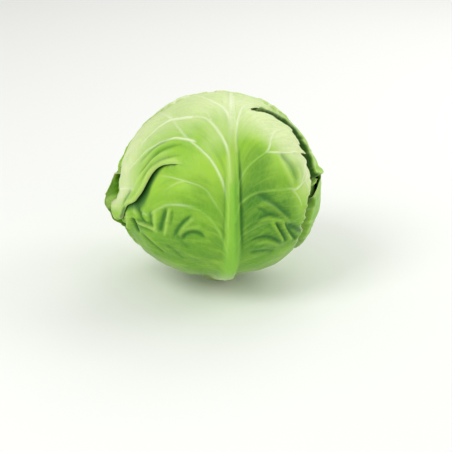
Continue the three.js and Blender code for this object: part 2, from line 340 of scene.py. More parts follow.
@dataclass(frozen=True)
class Patch:
    """A soft patch of a leaf, in its own angles.

    wash: how much paler (positive) or deeper (negative) its green is, which is partly its own tone and
    partly painted light where paler and painted shade where deeper; swell: how far it stands out, in mm;
    dry: how brown its margin has dried.
    """

    along: float
    lateral: float
    reach_along: float
    reach_lateral: float
    wash: float = 0.0
    swell: float = 0.0
    dry: float = 0.0

    def share(self, along: Array, lateral: Array) -> Array:
        """How fully places on the leaf lie in the patch."""
        away = ((along - self.along) / self.reach_along) ** 2
        return np.exp(-away - ((lateral - self.lateral) / self.reach_lateral) ** 2)


@dataclass(frozen=True)
class VeinRule:
    """How the side veins of a plain leaf run.

    stations: where they leave the rib, by side; clear: stations kept free of them at the stem and the
    tip; start, fork and reach: shares of the half width at which a vein starts, may fork and ends;
    climb: stations that it climbs on its way; branches: stations that each branch climbs besides, and
    how much further out than the fork it starts; bend: how soon it does; wander: unevenness in stations;
    size and branch_size: height and half width in mm, and tint.
    """

    stations: tuple[tuple[Side, tuple[int, ...]], ...] = (
        (Side.LEFT, (41, 58, 75, 91, 107, 123, 139, 152)),
        (Side.RIGHT, (49, 66, 83, 99, 115, 131, 146)),
    )
    clear: tuple[float, float] = (12.0, 14.0)
    start: float = 0.05
    fork: tuple[float, float] = (0.42, 0.6)
    reach: float = 0.93
    climb: float = 2.0
    branches: tuple[tuple[float, float], ...] = ((8.0, 0.0), (-6.0, 0.12))
    bend: float = 0.8
    wander: float = 0.35
    points: int = 6
    size: tuple[float, float, float] = (0.75, 1.15, 0.72)
    branch_size: tuple[float, float, float] = (0.45, 0.95, 0.42)


@dataclass(frozen=True)
class Leaf:
    """A leaf on the round of the head.

    azimuth: where its rib grows, from -Y towards +X; base and tip: its first and last station; hidden:
    whether other leaves lie over most of it; rib_drift: degrees that its rib runs to the right;
    strokes: its veins and folds, or none for veins by rule; dusk: degrees clear of the leaves over it
    where their painted shadow is whole and where it is gone; dusk_share and dusk_run: the strength of
    that by offset from the rib and by place along; shade: its green from stem to crown, below 0 darker
    and above 0 pale, which is partly its own tone and partly painted shade low down and a painted
    highlight towards the crown.
    """

    name: str
    azimuth: float
    base: float
    tip: float
    hidden: bool = False
    left: LeafSide = LeafSide()
    right: LeafSide = LeafSide()
    rib_drift: Curve = LEVEL
    tear: Tear | None = None
    strokes: tuple[Stroke, ...] = ()
    veins: VeinRule = VeinRule()
    patches: tuple[Patch, ...] = ()
    dusk: tuple[float, float] = (0.5, 4.0)
    dusk_share: Curve = EVERYWHERE
    dusk_run: Curve = EVERYWHERE
    shade: Curve = Curve(((20, -0.5), (60, -0.4), (95, -0.25), (120, -0.05), (150, 0.3), (175, 0.6)))
    rows: int = 212
    columns: int = 190

    @cached_property
    def climb(self) -> Curve:
        """How far a row has climbed when it has turned away from the rib, by station."""
        return Curve((*CLIMB, (self.tip - TIP_STRETCH, CLIMB_NEAR_TIP), (self.tip, TIP_DROP)))

    def by_side(self, rule: str, station: Array, offset: Array) -> Array:
        """Reads a rule of the sides that signed offsets from the rib lie on."""
        left = getattr(self.left, rule)(station)
        return np.where(offset < 0, left, getattr(self.right, rule)(station))

    def half_width(self, station: Array, offset: Array, upper: Array) -> Array:
        """Half width of the blade.

        Args:
            station: stations.
            offset: any signed offsets on the sides asked for.
            upper: whether each place is past the tear.

        Returns:
            The half width in degrees at each place.
        """
        width = self.by_side("width", station, offset)
        for side, sign in ((self.left, -1), (self.right, 1)):
            if side.width_past_tear:
                past = upper & (np.sign(offset) == sign)
                width = np.where(past, side.width_past_tear(station), width)
        phase = self.azimuth * DEG + np.where(offset < 0, BROAD_LEFT_PHASE, 0.0)
        return width + smoothstep(*BROAD_START, station) * BROAD_SWING(station, phase)

    def along_of(self, station: Array, offset: Array) -> Array:
        """Follows a row of the leaf out from its rib.

        Args:
            station: stations of the rows.
            offset: signed offsets from the rib, in degrees.

        Returns:
            The angle along the head of each place, in degrees.
        """
        out = np.abs(offset)
        return (
            station
            + self.climb(station) * (1 - np.exp(-out / CLIMB_OVER))
            + self.by_side("lean", station, offset) * out
            - self.by_side("droop", station, offset) * DROOP_SHARE(out)
        )

    def rays_of(self, along: Array, lateral: Array) -> Array:
        """Turns this leaf's own angles to rays.

        Args:
            along: degrees along the leaf.
            lateral: degrees across, from the plane of its rib.

        Returns:
            Unit rays from the middle of the head.
        """
        turn = self.azimuth * DEG
        flat = np.cos(lateral * DEG) * np.sin(along * DEG)
        side = np.sin(lateral * DEG)
        x = flat * math.sin(turn) + side * math.cos(turn)
        y = -flat * math.cos(turn) + side * math.sin(turn)
        return np.stack([x, y, -np.cos(lateral * DEG) * np.cos(along * DEG)], 1)

    def place_of(self, rays: Array) -> tuple[Array, Array]:
        """Finds rays in this leaf's own terms.

        Args:
            rays: unit rays from the middle of the head.

        Returns:
            The station, and the signed offset from the rib in degrees, of each ray.
        """
        turn = self.azimuth * DEG
        outward = rays[:, 0] * math.sin(turn) - rays[:, 1] * math.cos(turn)
        across = rays[:, 0] * math.cos(turn) + rays[:, 1] * math.sin(turn)
        lateral = np.arcsin(np.clip(across, -1, 1)) / DEG
        along = np.arctan2(outward, -rays[:, 2]) / DEG
        along = np.where(along < PAST_STEM, along + 360, along)
        low, high = (np.full(len(rays), end) for end in SEARCH)
        for _ in range(SEARCH_STEPS):
            station = (low + high) / 2
            before = self.along_of(station, lateral - self.rib_drift(station)) < along
            low = np.where(before, station, low)
            high = np.where(before, high, station)
        return station, lateral - self.rib_drift(station)

    def beyond(self, rays: Array) -> Array:
        """Measures how far rays lie from this leaf's outline.

        Args:
            rays: unit rays from the middle of the head.

        Returns:
            The degrees by which each ray lies beyond it, below 0 inside it.
        """
        station, offset = self.place_of(rays)
        inside = np.clip(station, self.base, self.tip)
        upper = station > self.tear.station if self.tear else np.zeros(len(rays), bool)
        side = np.abs(offset) - self.half_width(inside, offset, upper)
        ahead, behind = (self.half_width(inside + step, offset, upper) for step in (SLANT_STEP, -SLANT_STEP))
        slant = np.where(side > 0, (ahead - behind) / (2 * SLANT_STEP), 0)
        past_end = np.maximum(station - self.tip, self.base - station)
        return np.maximum(side / np.sqrt(1 + slant**2), past_end)

    def plain_veins(self) -> tuple[Stroke, ...]:
        """Draws side veins by rule: each follows a row out from the rib and forks on its way.

        Returns:
            The veins.
        """
        rule = self.veins
        draw = np.random.default_rng(round(self.azimuth) % 360)
        made = []
        for side, stations in rule.stations:
            for station in stations:
                if not self.base + rule.clear[0] < station < self.tip - rule.clear[1]:
                    continue
                width = float(self.half_width(np.array(station), np.array(side.value), np.array(False)))
                fork = draw.uniform(*rule.fork)
                branches = [(climb, fork + later, rule.branch_size) for climb, later in rule.branches]
                for climb, first, size in [(0.0, rule.start, rule.size), *branches]:
                    shares = np.linspace(first, rule.reach, rule.points)
                    turn = (shares - first) / (rule.reach - first)
                    row = station + rule.climb * shares + climb * turn**rule.bend
                    row = row + draw.normal(0, rule.wander, rule.points)
                    offset = side.value * shares * width
                    lateral = self.rib_drift(row) + offset
                    path = tuple(zip(self.along_of(row, offset).tolist(), lateral.tolist()))
                    made.append(Stroke(Mark.VEIN, path, *size))
        return tuple(made)


def vein(*path: Knot, height: float = 0.85, half_width: float = 1.15, tint: float = 1.0) -> Stroke:
    """A side vein through points of its leaf."""
    return Stroke(Mark.VEIN, path, height, half_width, tint)


def ridge(*path: Knot, height: float = 1.4, half_width: float = 1.8, tint: float = 0.5) -> Stroke:
    """A fold that stands out, along points of its leaf, with a painted highlight on it as strong as its tint.
    """
    return Stroke(Mark.RIDGE, path, height, half_width, tint)


def furrow(*path: Knot, depth: float = 1.5, half_width: float = 2.0, tint: float = 0.7) -> Stroke:
    """A fold that sinks in, along points of its leaf, with painted shade in it as strong as its tint."""
    return Stroke(Mark.FURROW, path, -depth, half_width, tint)


FRONT_STROKES = (
    # veins left of the rib, from the crown down
    vein((146, 7), (155.4, 5.5), (163.4, 2.8), (170.3, -2.2), (180, -9), (196, -15), half_width=1.4),
    vein((158, 8.3), (170, 8.4), (184, 8), height=0.9, half_width=1.39),
    vein((115, 6.4), (122.8, 5.8), (134.3, 4.3), (141, 1.6), (150.2, -3.8), (155.9, -8.8), (158.6, -18.5),
         (162.1, -26.9), (165, -34), height=1.0, half_width=1.35, tint=0.95),
    vein((150.2, -3.8), (158.8, -6.1), (166, -11), height=0.4, half_width=0.7, tint=0.5),
    vein((92, 4.6), (98.8, 4.8), (105.8, 4.2), (116.3, 1.6), (127.2, -4.2), (134.1, -10.2), (142.2, -17.5),
         (152.4, -23), (161.8, -26.4), (168.5, -28.5), (176, -30), height=1.0, half_width=1.3, tint=0.85),
    vein((139, -13.5), (143.7, -23.3), (144.2, -30.8), (142.8, -42.5), (139, -50), (136, -60),
         half_width=1.22),
    vein((161.8, -26.4), (171.4, -31.2), (183.7, -35.6), height=0.6, half_width=1.04, tint=0.9),
    vein((158, -15), (160, -22), (161.8, -26.4), (160, -36), (152, -48),
         height=0.8, half_width=1.4, tint=1.2),
    vein((90, 3.4), (96.2, 2.6), (105.8, -3.1), (110.5, -6.3), (113.2, -10), (116.1, -18.3), (119, -27),
         (120.6, -34), height=0.8, half_width=1.0, tint=0.62),
    vein((116.1, -18.3), (114.6, -24), (111.2, -30), height=0.4, half_width=0.78, tint=0.35),
    vein((78, 4), (85.5, 1.6), (94, -3.1), (99.9, -10), (101.8, -15.4), (102.6, -21), (102.6, -27.4),
         (98.4, -35.1), (94.2, -40.8), (95.9, -46.1), (98.1, -50.4), height=1.2, half_width=1.3, tint=0.9),
    vein((116.1, -74.3), (114.3, -60), (112.1, -51.7), height=0.8, half_width=1.04),
    # veins right of the rib
    vein((132, 9), (139.5, 8.8), (147.9, 9.6), (156.1, 10.8), (168.3, 13.5), (174.9, 17.7), (178.4, 21.4),
         (180, 27), half_width=1.22),
    vein((108, 9.6), (115.4, 11.1), (122.9, 15), (129.1, 20.7), (134.2, 26.1), (138.7, 28.3), (144.7, 29.5),
         (151, 31.3), (156.6, 35.1), (162, 39), height=1.0, half_width=1.3),
    vein((134.2, 26.1), (135.7, 31.8), (139.1, 40.7), (145, 49), height=0.7, half_width=1.04, tint=0.9),
    vein((94, 8.6), (102.5, 10.5), (106.5, 14.8), (108.6, 18.2), (110, 23.3), (110.7, 29.3), (111, 35.1),
         (112.1, 41.4), (112.5, 47.1), (119.7, 51.7), (129.8, 54.5), (138, 56), height=1.1, half_width=1.3),
    vein((111.5, 43.7), (105.1, 48.7), (98, 50.6), height=0.6, half_width=0.87, tint=0.8),
    vein((112.5, 47.1), (116, 50.5), (121, 54.8), height=0.6, half_width=0.87, tint=0.8),
    vein((143, 56.5), (134, 54.5), (128, 56.8), (122, 55.2), (115, 57.5), (106, 58),
         height=0.6, half_width=0.9),
    vein((128, 56.8), (124, 59), (117, 59.5), height=0.5, half_width=0.8, tint=0.9),
    vein((80, 8), (86, 12), (90.4, 21), (91.8, 25.1), (91.9, 30), (91.4, 34.5), (88.8, 39.4),
         (83.5, 44.2), height=0.8, half_width=1.13, tint=0.7),
    vein((60, 6), (66, 14), (70, 26), (70, 40), height=0.7, half_width=1.04, tint=0.5),
    vein((56, 2), (62, -8), (67, -22), (68, -36), height=0.7, half_width=1.04, tint=0.5),
    vein((40, 3), (46, 14), (49, 28), (48, 42), height=0.7, half_width=1.13, tint=0.5),
    vein((38, 0), (44, -12), (48, -28), (48, -42), height=0.7, half_width=1.13, tint=0.5),
    # folds that fan from the knot below the tear
    furrow((100, -50), (96, -48), (91, -45.5), (88, -42), depth=1.01, half_width=1.7, tint=1.0),
    ridge((103, -52), (99, -51), (95, -50.5), (91, -51.5), height=1.15, half_width=2.4, tint=0.9),
    ridge((101.5, -26.6), (96.1, -27.6), (88.5, -28.5), (82, -30), height=1.37, half_width=1.3, tint=0.95),
    furrow((101, -29), (94.7, -30.6), (89.3, -31.8), (83, -33), depth=1.66, half_width=2.2, tint=1.15),
    furrow((100, -25), (95.2, -25.6), (90, -26.3), depth=0.72, half_width=1.2, tint=0.6),
    ridge((99, -36.3), (92.1, -35.6), (84, -34.9), height=0.94, half_width=1.4, tint=0.75),
    furrow((97, -39.5), (91.5, -38.8), (86.5, -37.5), depth=1.08, half_width=1.7, tint=0.85),
    furrow((96.5, -44.5), (92.7, -46.1), (89, -43.9), (87, -41), depth=0.94, half_width=1.4, tint=0.8),
    ridge((85.8, -49.5), (86.4, -41.2), (85.6, -36.5), (84, -31), height=1.37, half_width=1.2, tint=0.95),
    furrow((88, -49), (88.3, -41.1), (87.3, -36), depth=0.86, half_width=1.1, tint=1.0),
    furrow((84, -50), (83.6, -43), (82.4, -36.5), depth=0.86, half_width=1.4, tint=0.6),
    furrow((98.5, -14), (96.2, -16), (93, -19.2), (89, -22), (83, -24.5),
           depth=1.22, half_width=1.5, tint=1.1),
    ridge((96.5, -12.5), (92.7, -16.6), (88.8, -19.3), (84.5, -21.5),
          height=0.79, half_width=1.6, tint=0.6),
    furrow((81, -20.5), (85.8, -18), (88, -14.4), (87.6, -10.2), (84.2, -6.5),
           depth=1.3, half_width=1.5, tint=1.1),
    ridge((85, -21.5), (89.2, -17.4), (91, -13), (90.4, -8), height=0.65, half_width=1.3, tint=0.5),
    furrow((86, -23), (82.5, -21), (78, -16), depth=0.6, half_width=1.9, tint=0.45),
    # under the fold's edge this furrow's tint is high enough to be painted black as shadow
    furrow((87.5, -53.2), (83.1, -51.4), (79.9, -50.2), (74, -49.6), depth=3.6, half_width=2.2, tint=2.2),
    ridge((93, -56), (86, -56.4), (78, -57), (68, -58.5), height=3.2, half_width=3.2, tint=0.8),
    furrow((97, -58.5), (89, -61.5), (80, -64.5), (68, -67.5), depth=1.15, half_width=1.2, tint=1.1),
    ridge((79, -43), (75, -37), (68, -30), height=1.15, half_width=1.6, tint=0.5),
    furrow((77, -47), (72.5, -40), (65, -32), depth=1.15, half_width=1.8, tint=0.8),
    furrow((77, -30), (72, -24), (66, -20), depth=0.86, half_width=1.6, tint=0.6),
    ridge((74, -20), (71, -12), (66, -6), height=0.65, half_width=1.5, tint=0.3),
    # folds above the tear, alongside its lip
    furrow((131.5, -19), (131, -24), (128.6, -32), (124, -40), (116, -46.6),
           depth=0.9, half_width=1.5, tint=0.55),
    ridge((135, -22), (132.5, -32), (127.5, -41), (118, -50), (109, -56),
          height=1.0, half_width=1.7, tint=0.6),
    furrow((138.5, -19), (138, -26), (135.5, -33), (131, -40), (122, -49),
           depth=1.0, half_width=1.9, tint=0.6),
    ridge((141, -24), (140.5, -31), (137.5, -39), (132, -46), height=0.7, half_width=1.3, tint=0.4),
    furrow((144.5, -26), (143, -34), (139, -43), (134, -50), depth=0.7, half_width=1.3, tint=0.45),
    furrow((112, -56), (106, -59), (98, -62), depth=1.2, half_width=2.2, tint=0.7),
    # the rib's sides: furrows with painted shade along its steep right side and in its grooves, and lines of
    # painted highlight along its top
    furrow((136, 10.6), (120, 11.2), (105, 11.5), (90, 11.9), (70, 12.4),
           depth=0.9, half_width=1.3, tint=0.9),
    furrow((122, 3.2), (105, 2.9), (90, 2.4), (74, 1.4), depth=0.4, half_width=0.9, tint=0.45),
    furrow((126, 8.6), (108, 9), (88, 9.2), (66, 9.2), depth=0.35, half_width=1.5, tint=0.4),
    ridge((140, 5.4), (120, 5.2), (100, 5.0), (84, 4.6), (66, 4.2), height=0.2, half_width=1.4, tint=0.6),
    ridge((186, 7.6), (168, 8.2), (150, 8.6), (136, 8.4), height=0.2, half_width=1.3, tint=0.7),
    # folds right of the rib
    furrow((116, 15.5), (104, 17), (92, 17.5), (78, 17.5), depth=0.3, half_width=6.0, tint=0.2),
    ridge((132, 33.5), (124.5, 38), (118, 41.6), (112.5, 44.5), height=1.2, half_width=2.0, tint=0.7),
    furrow((137, 35), (131, 41), (124.7, 44.7), (117.5, 47), depth=1.5, half_width=3.0, tint=0.55),
    ridge((130, 47.5), (122, 49.5), (114, 50), height=0.8, half_width=1.6, tint=0.6),
    furrow((109.5, 17), (108.4, 22), (104.5, 28), (98.5, 35), (90, 42.5),
           depth=1.7, half_width=2.9, tint=0.8),
    ridge((104.5, 22), (101.5, 29), (95.5, 35), (88, 41), height=1.2, half_width=1.6, tint=0.7),
    furrow((102, 19), (98.5, 25), (94.5, 30), depth=1.0, half_width=1.5, tint=0.6),
    ridge((92.5, 20), (94, 26), (92, 33), (88.4, 38), height=1.3, half_width=1.2, tint=0.8),
    furrow((95, 20), (96.6, 27), (94.2, 34), depth=1.0, half_width=1.3, tint=0.7),
    ridge((93.5, 27.8), (86.2, 31.4), (75, 36.4), height=1.8, half_width=1.2, tint=0.9),
    furrow((92.5, 30.6), (84.5, 34.2), (72, 40), depth=1.9, half_width=1.3, tint=1.15),
    ridge((91.5, 34), (83.1, 37.7), (70, 43.6), height=1.6, half_width=1.1, tint=0.8),
    furrow((90, 37), (80.7, 41.3), (67, 48), depth=2.0, half_width=1.5, tint=1.2),
    furrow((88, 39), (80.6, 46), (72, 53), depth=2.0, half_width=2.4, tint=1.1),
    furrow((82, 16), (83.5, 24), (80.6, 30), (73, 36), depth=1.6, half_width=1.4, tint=1.0),
    ridge((79.6, 17), (80.4, 24), (77, 30), (70, 35), height=1.4, half_width=1.3, tint=0.7),
    furrow((74, 16), (73, 24), (68, 32), depth=1.3, half_width=1.6, tint=0.8),
    ridge((140, 44), (147, 47.5), (155, 50), height=0.8, half_width=2.2, tint=0.2),
)

# washes of the green are partly its own tone and partly painted light and shade: paler at the crown, along
# the left shoulder and the right margin, and darker right of the rib low down; some also swell the leaf or
# dry its margin
FRONT_PATCHES = (
    Patch(176, 5, 24, 60, 0.4),
    Patch(150, -72, 34, 26, 0.9),
    Patch(120, -72, 20, 15, 0.85),
    Patch(104, -76, 16, 16, 1.0),
    Patch(84, -74, 12, 11, 0.9, dry=0.9),
    Patch(138, -33, 7, 10, -0.1),
    Patch(143, -9.5, 8, 5, -0.28),
    Patch(146, 46, 15, 18, 0.85),
    Patch(158, 30, 12, 16, 0.4),
    Patch(139, -6, 15, 9, 0.34),
    Patch(112, -20, 12, 14, 0.12),
    Patch(123, 20, 13, 10, -0.6),
    Patch(132, 27, 7, 7, -0.35),
    Patch(86, -41, 9, 9, 0.25),
    Patch(99, 18, 16, 14, -0.75),
    Patch(82, 30, 16, 22, -0.35, 1.6),
    Patch(118, 30, 12, 10, -0.12),
    Patch(126, 46, 9, 6, 0.08),
    Patch(130, 59, 20, 6, 1.1),
    Patch(104, 51, 18, 5, 0.45),
    Patch(101, 33, 12, 11, -0.55),
    Patch(74, -30, 18, 30, -0.1, 1.0),
    Patch(90, -45, 9, 9, 0.1, 1.4),
    Patch(86, -20, 10, 12, -0.25),
    Patch(108, -10, 12, 7, -0.25),
)

INNER = {"base": 21, "hidden": True, "dusk": (-30, -12), "rows": 118, "columns": 100}

LEAVES = (
    Leaf("inner_leaf_back", 178, tip=172, **INNER),
    Leaf("inner_leaf_right", 62, tip=166, **INNER),
    Leaf("inner_leaf_left", -70, tip=172, **INNER),
    Leaf(
        "wrapper_leaf_back_left",
        -132,
        16,
        172,
        dusk=(-5, -1.5),
        # the paler washes, on the flared flap and at the crown, are painted light; the others dry its margin
        patches=(
            Patch(92, 48, 20, 10, 0.85),
            Patch(112, 38, 16, 12, dry=0.5),
            Patch(78, 50, 5, 8, dry=0.4),
            Patch(160, 8, 18, 22, 0.5),
        ),
        right=LeafSide(
            width=Curve(
                ((16, 13), (20, 28), (28, 47), (38, 64), (50, 70), (56, 64), (60, 56), (64, 52.8),
                 (70.5, 50.8), (74, 48.6), (78, 46), (82.4, 43), (85, 44), (89, 48), (93, 48), (97, 45),
                 (104, 39), (116, 32), (153, 24), (172, 20))
            ),
            flare=Curve(
                ((56, 0), (60, 3), (64, 7), (69, 9.5), (73, 11.5), (76, 9.5), (79, 6.5), (83, 3), (87, 0))
            ),
            nicks=((68.3, 3.0, 0.8),),
        ),
    ),
    Leaf(
        "wrapper_leaf_back_right",
        126,
        16,
        172,
        dusk=(4.2, 6.2),
        dusk_share=Curve(((-22, 1), (-15, 0))),
        dusk_run=Curve(((92, 0.25), (106, 1))),
        # the wash at the crown is partly painted light, as on the front leaf; the other wash pales the band
        # beside the front leaf's margin, and the dry patch browns its margin
        patches=(Patch(110, -42, 7, 7, dry=0.6), Patch(125, -30, 24, 14, 0.3), Patch(160, 4, 18, 18, 0.5)),
        left=LeafSide(
            width=Curve(
                ((16, 13), (20, 28), (28, 50), (40, 70), (50, 78), (60, 79), (70, 79), (76, 77), (80, 71),
                 (83, 61), (85, 50), (86.5, 44), (87.7, 44.5), (90.3, 56), (94, 66), (97, 65), (102, 54),
                 (106, 47), (112, 39), (122, 35), (155, 32), (172, 24))
            ),
            flare=Curve(
                ((76, 0), (80, 0.4), (84, 1.0), (86.5, 2.6), (87.8, 5.4), (89.5, 4.2), (92, 1), (94, 0))
            ),
        ),
        right=LeafSide(
            width=Curve(
                ((16, 13), (20, 28), (28, 46), (40, 56), (60, 60), (90, 60), (115, 50), (140, 40), (160, 30),
                 (172, 22))
            )
        ),
    ),
    Leaf(
        "wrapper_leaf_front",
        0,
        16,
        198,
        rib_drift=Curve(((15, 0), (40, 4), (70, 7), (198, 7))),
        tear=Tear(),
        left=LeafSide(
            width=Curve(((16, 13), (20, 28), (28, 47), (40, 58), (58, 67), (75, 72), (97, 74))),
            width_past_tear=Curve(
                ((97, 84), (100, 84), (104, 82), (112, 80), (122, 77), (135, 71), (148, 63), (160, 54),
                 (175, 43), (198, 24))
            ),
            lean=Curve(
                ((16, -0.6), (22, -0.4), (40, -0.12), (80, -0.05), (90, 0.1), (96, 0.12), (101, 0.5),
                 (128, 0.25), (198, 0))
            ),
            droop=Curve(((40, 0), (60, 6), (80, 21), (89, 38), (97, 44), (101, 26), (105, 0))),
            flare=Curve(((40, 0), (75, 0.6), (97, 0.5), (110, 0.4), (140, 0.4))),
        ),
        right=LeafSide(
            width=Curve(
                ((16, 13), (20, 28), (28, 44), (40, 46), (67, 45.5), (73, 46.5), (80, 48.5), (87, 51.3),
                 (91, 54), (93.5, 54.5), (95.3, 52.3), (98.7, 48.2), (107.8, 43.5), (117.7, 39.2),
                 (128.5, 33.7), (132, 28.5), (136, 21.5), (140, 16.5), (144, 12), (148, 13), (156, 19),
                 (166, 25), (182, 25), (198, 18))
            ),
            nicks=((99.2, 5.0, 0.9), (96.0, 2.0, 0.8)),
            lean=Curve(
                ((16, -0.6), (22, -0.4), (40, -0.12), (88, 0), (101, 0.5), (130, 0.4), (150, 0.2), (198, 0))
            ),
            flare=Curve(((40, 0), (90, 0.6), (150, 0.4))),
        ),
        strokes=FRONT_STROKES,
        patches=FRONT_PATCHES,
        shade=Curve(
            ((20, -0.8), (60, -0.65), (85, -0.5), (100, -0.32), (115, -0.12), (130, 0.0), (150, 0.28),
             (170, 0.6))
        ),
        rows=244,
        columns=196,
    ),
)

# ---------------------------------------------------------------- the leaves in their layers


@dataclass(frozen=True)
class LeafLayers:
    """The leaves from the innermost to the outermost, and the radial room that each takes.

    slot: room that a blade takes with its swellings, in mm; berth and fade: degrees beyond its edge
    that the slot stays whole, and by which it has faded out; rib_room: degrees to either side that a
    hidden leaf's rib keeps free; hidden_rib: height of such a rib as a share of a wrapper leaf's.
    """

    leaves: tuple[Leaf, ...] = LEAVES
    slot: float = 3.8
    berth: float = 1.5
    fade: float = 5.5
    rib_room: float = 9.0
    hidden_rib: float = 0.6

    def floor(self, layer: int, rays: Array) -> Array:
        """Works out a layer's floor.

        Args:
            layer: the layer's number, from 0 for the innermost leaf.
            rays: unit rays from the middle of the head.

        Returns:
            The radius in mm of what the leaf lies on: the round less the slots of it and of those outside it.
        """
        radius = HEAD.radius_at(rays)
        for leaf in self.leaves[layer:]:
            station, offset = leaf.place_of(rays)
            rib = self.hidden_rib * RIB_HEIGHT(station) if leaf.hidden else 0.0
            cover = 1 - smoothstep(self.berth, self.fade, leaf.beyond(rays))
            radius = radius - (self.slot + rib * bell(offset, self.rib_room)) * cover
        return radius

    def clear_of(self, layer: int, rays: Array) -> Array:
        """Measures how far rays lie clear of every leaf outside a layer.

        Args:
            layer: the layer's number.
            rays: unit rays from the middle of the head.

        Returns:
            The degrees by which each ray lies clear, below 0 under one of those leaves.
        """
        clear = np.full(len(rays), 180.0)
        for leaf in self.leaves[layer + 1:]:
            clear = np.minimum(clear, leaf.beyond(rays))
        return clear


LAYERS = LeafLayers()


class StrokeField:
    """The veins and folds of one leaf, pressed into a set of places on it.

    STEP: spacing in mm of the points that a stroke is followed by; NEAR: mm from a vein that still
    count as near it; a vein loses VEIN_FALL of its height and VEIN_TAPER of its width on its way and
    ends past VEIN_END of it; a fold grows and fades over FOLD_ENDS, from FOLD_SLIM of its width by
    FOLD_GAIN, and is felt for FOLD_ROOM of its half widths.
    """

    STEP = 0.7
    NEAR = 12.0
    FEWEST_POINTS = 4
    VEIN_FALL = 0.55
    VEIN_TAPER = 0.5
    VEIN_END = 0.9
    FOLD_ENDS = 0.25
    FOLD_SLIM = 0.4
    FOLD_GAIN = 0.7
    FOLD_ROOM = 3.0

    def __init__(self, leaf: Leaf, rays: Array) -> None:
        """Presses every stroke of the leaf into the places that it comes near.

        Args:
            leaf: the leaf.
            rays: unit rays of the places.
        """
        self.points = rays * HEAD.radius
        self.leaf = leaf
        self.relief = {mark: np.zeros(len(rays)) for mark in Mark}
        self.tint = {mark: np.zeros(len(rays)) for mark in Mark}
        self.to_vein = np.full(len(rays), self.NEAR)
        for stroke in leaf.strokes or leaf.plain_veins():
            self.press(stroke)

    def line(self, path: Knots) -> Array:
        """Draws a smooth line through a path.

        Args:
            path: the line's knots, in degrees along and across.

        Returns:
            Points on the round in mm, about STEP apart.
        """
        along, lateral = np.array(path, float).T
        knots = self.leaf.rays_of(along, lateral) * HEAD.radius
        reach = np.concatenate([[0], np.cumsum(np.linalg.norm(np.diff(knots, axis=0), axis=1))])
        at = np.linspace(0, reach[-1], max(self.FEWEST_POINTS, round(reach[-1] / self.STEP)))
        return np.stack([Curve(tuple(zip(reach, knots[:, axis])))(at) for axis in range(3)], 1)

    def distances(self, line: Array, near: Array) -> tuple[Array, Array]:
        """Measures places against a line.

        Args:
            line: points of the line, in mm.
            near: numbers of the places near it.

        Returns:
            Their distances from it in mm, and how far along it they lie, from 0 to 1.
        """
        gap = self.points[near][:, None, :] - line[None, :, :]
        nearest = np.linalg.norm(gap, axis=2).argmin(1)
        gap = gap[np.arange(len(near)), nearest]
        run = np.gradient(line, axis=0)
        pace = np.linalg.norm(run, axis=1, keepdims=True)
        tangent = (run / pace)[nearest]
        slide = np.clip((gap * tangent).sum(1), -pace[nearest, 0], pace[nearest, 0])
        return np.sqrt(np.maximum((gap**2).sum(1) - slide**2, 0)), nearest / (len(line) - 1)

    def press(self, stroke: Stroke) -> None:
        """Adds one stroke's relief, tint and nearness.

        Args:
            stroke: the vein or fold.
        """
        line = self.line(stroke.path)
        middle = line.mean(0)
        is_vein = stroke.mark is Mark.VEIN
        room = self.NEAR if is_vein else self.FOLD_ROOM * stroke.half_width
        reach = np.linalg.norm(line - middle, axis=1).max() + room
        near = np.nonzero(np.linalg.norm(self.points - middle, axis=1) < reach)[0]
        if not len(near):
            return
        away, share = self.distances(line, near)
        relief = self.relief[stroke.mark]
        if is_vein:
            strength = (1 - self.VEIN_FALL * share) * (1 - smoothstep(self.VEIN_END, 1, share))
            form = strength * bell(away, stroke.half_width * (1 - self.VEIN_TAPER * share))
            relief[near] = np.maximum(relief[near], stroke.height * form)
            self.to_vein[near] = np.minimum(self.to_vein[near], away)
        else:
            ends = 1 - smoothstep(1 - self.FOLD_ENDS, 1, share)
            strength = smoothstep(0, self.FOLD_ENDS, share) * ends
            form = strength * bell(away, stroke.half_width * (self.FOLD_SLIM + self.FOLD_GAIN * strength))
            relief[near] += stroke.height * form
        tint = self.tint[stroke.mark]
        tint[near] = np.maximum(tint[near], stroke.tint * form)


# ---------------------------------------------------------------- the surface of a leaf


@dataclass(frozen=True)
class Places:
    """Places on a leaf, in each measure that its surface is worked out from.

    station, along, offset and lateral: degrees along and across, from the rib and from its plane; out:
    degrees out from the rib; upper: whether past the tear; rays: from the middle of the head; lift and
    from_tear: in mm, as LeafSurface.torn has them; margin: mm in from the margin; edge: nearness to it;
    clear: degrees clear of the leaves outside this one; strokes: the veins and folds there.
    """

    leaf: Leaf
    station: Array
    along: Array
    offset: Array
    lateral: Array
    out: Array
    upper: Array
    rays: Array
    lift: Array
    from_tear: Array
    margin: Array
    edge: Array
    clear: Array
    strokes: StrokeField

    def patched(self, rule: str) -> Array:
        """Adds up what the leaf's patches say.

        Args:
            rule: name of the patches' field, such as wash.

        Returns:
            Their sum at each place.
        """
        patches = self.leaf.patches
        shares = (getattr(patch, rule) * patch.share(self.along, self.lateral) for patch in patches)
        return sum(shares, np.zeros(len(self.rays)))

    def ripple(self, seed: int, wavelength: float) -> Array:
        """Seeded unevenness there, about -1 to 1."""
        return Ripple(seed, wavelength)(self.rays * HEAD.radius)


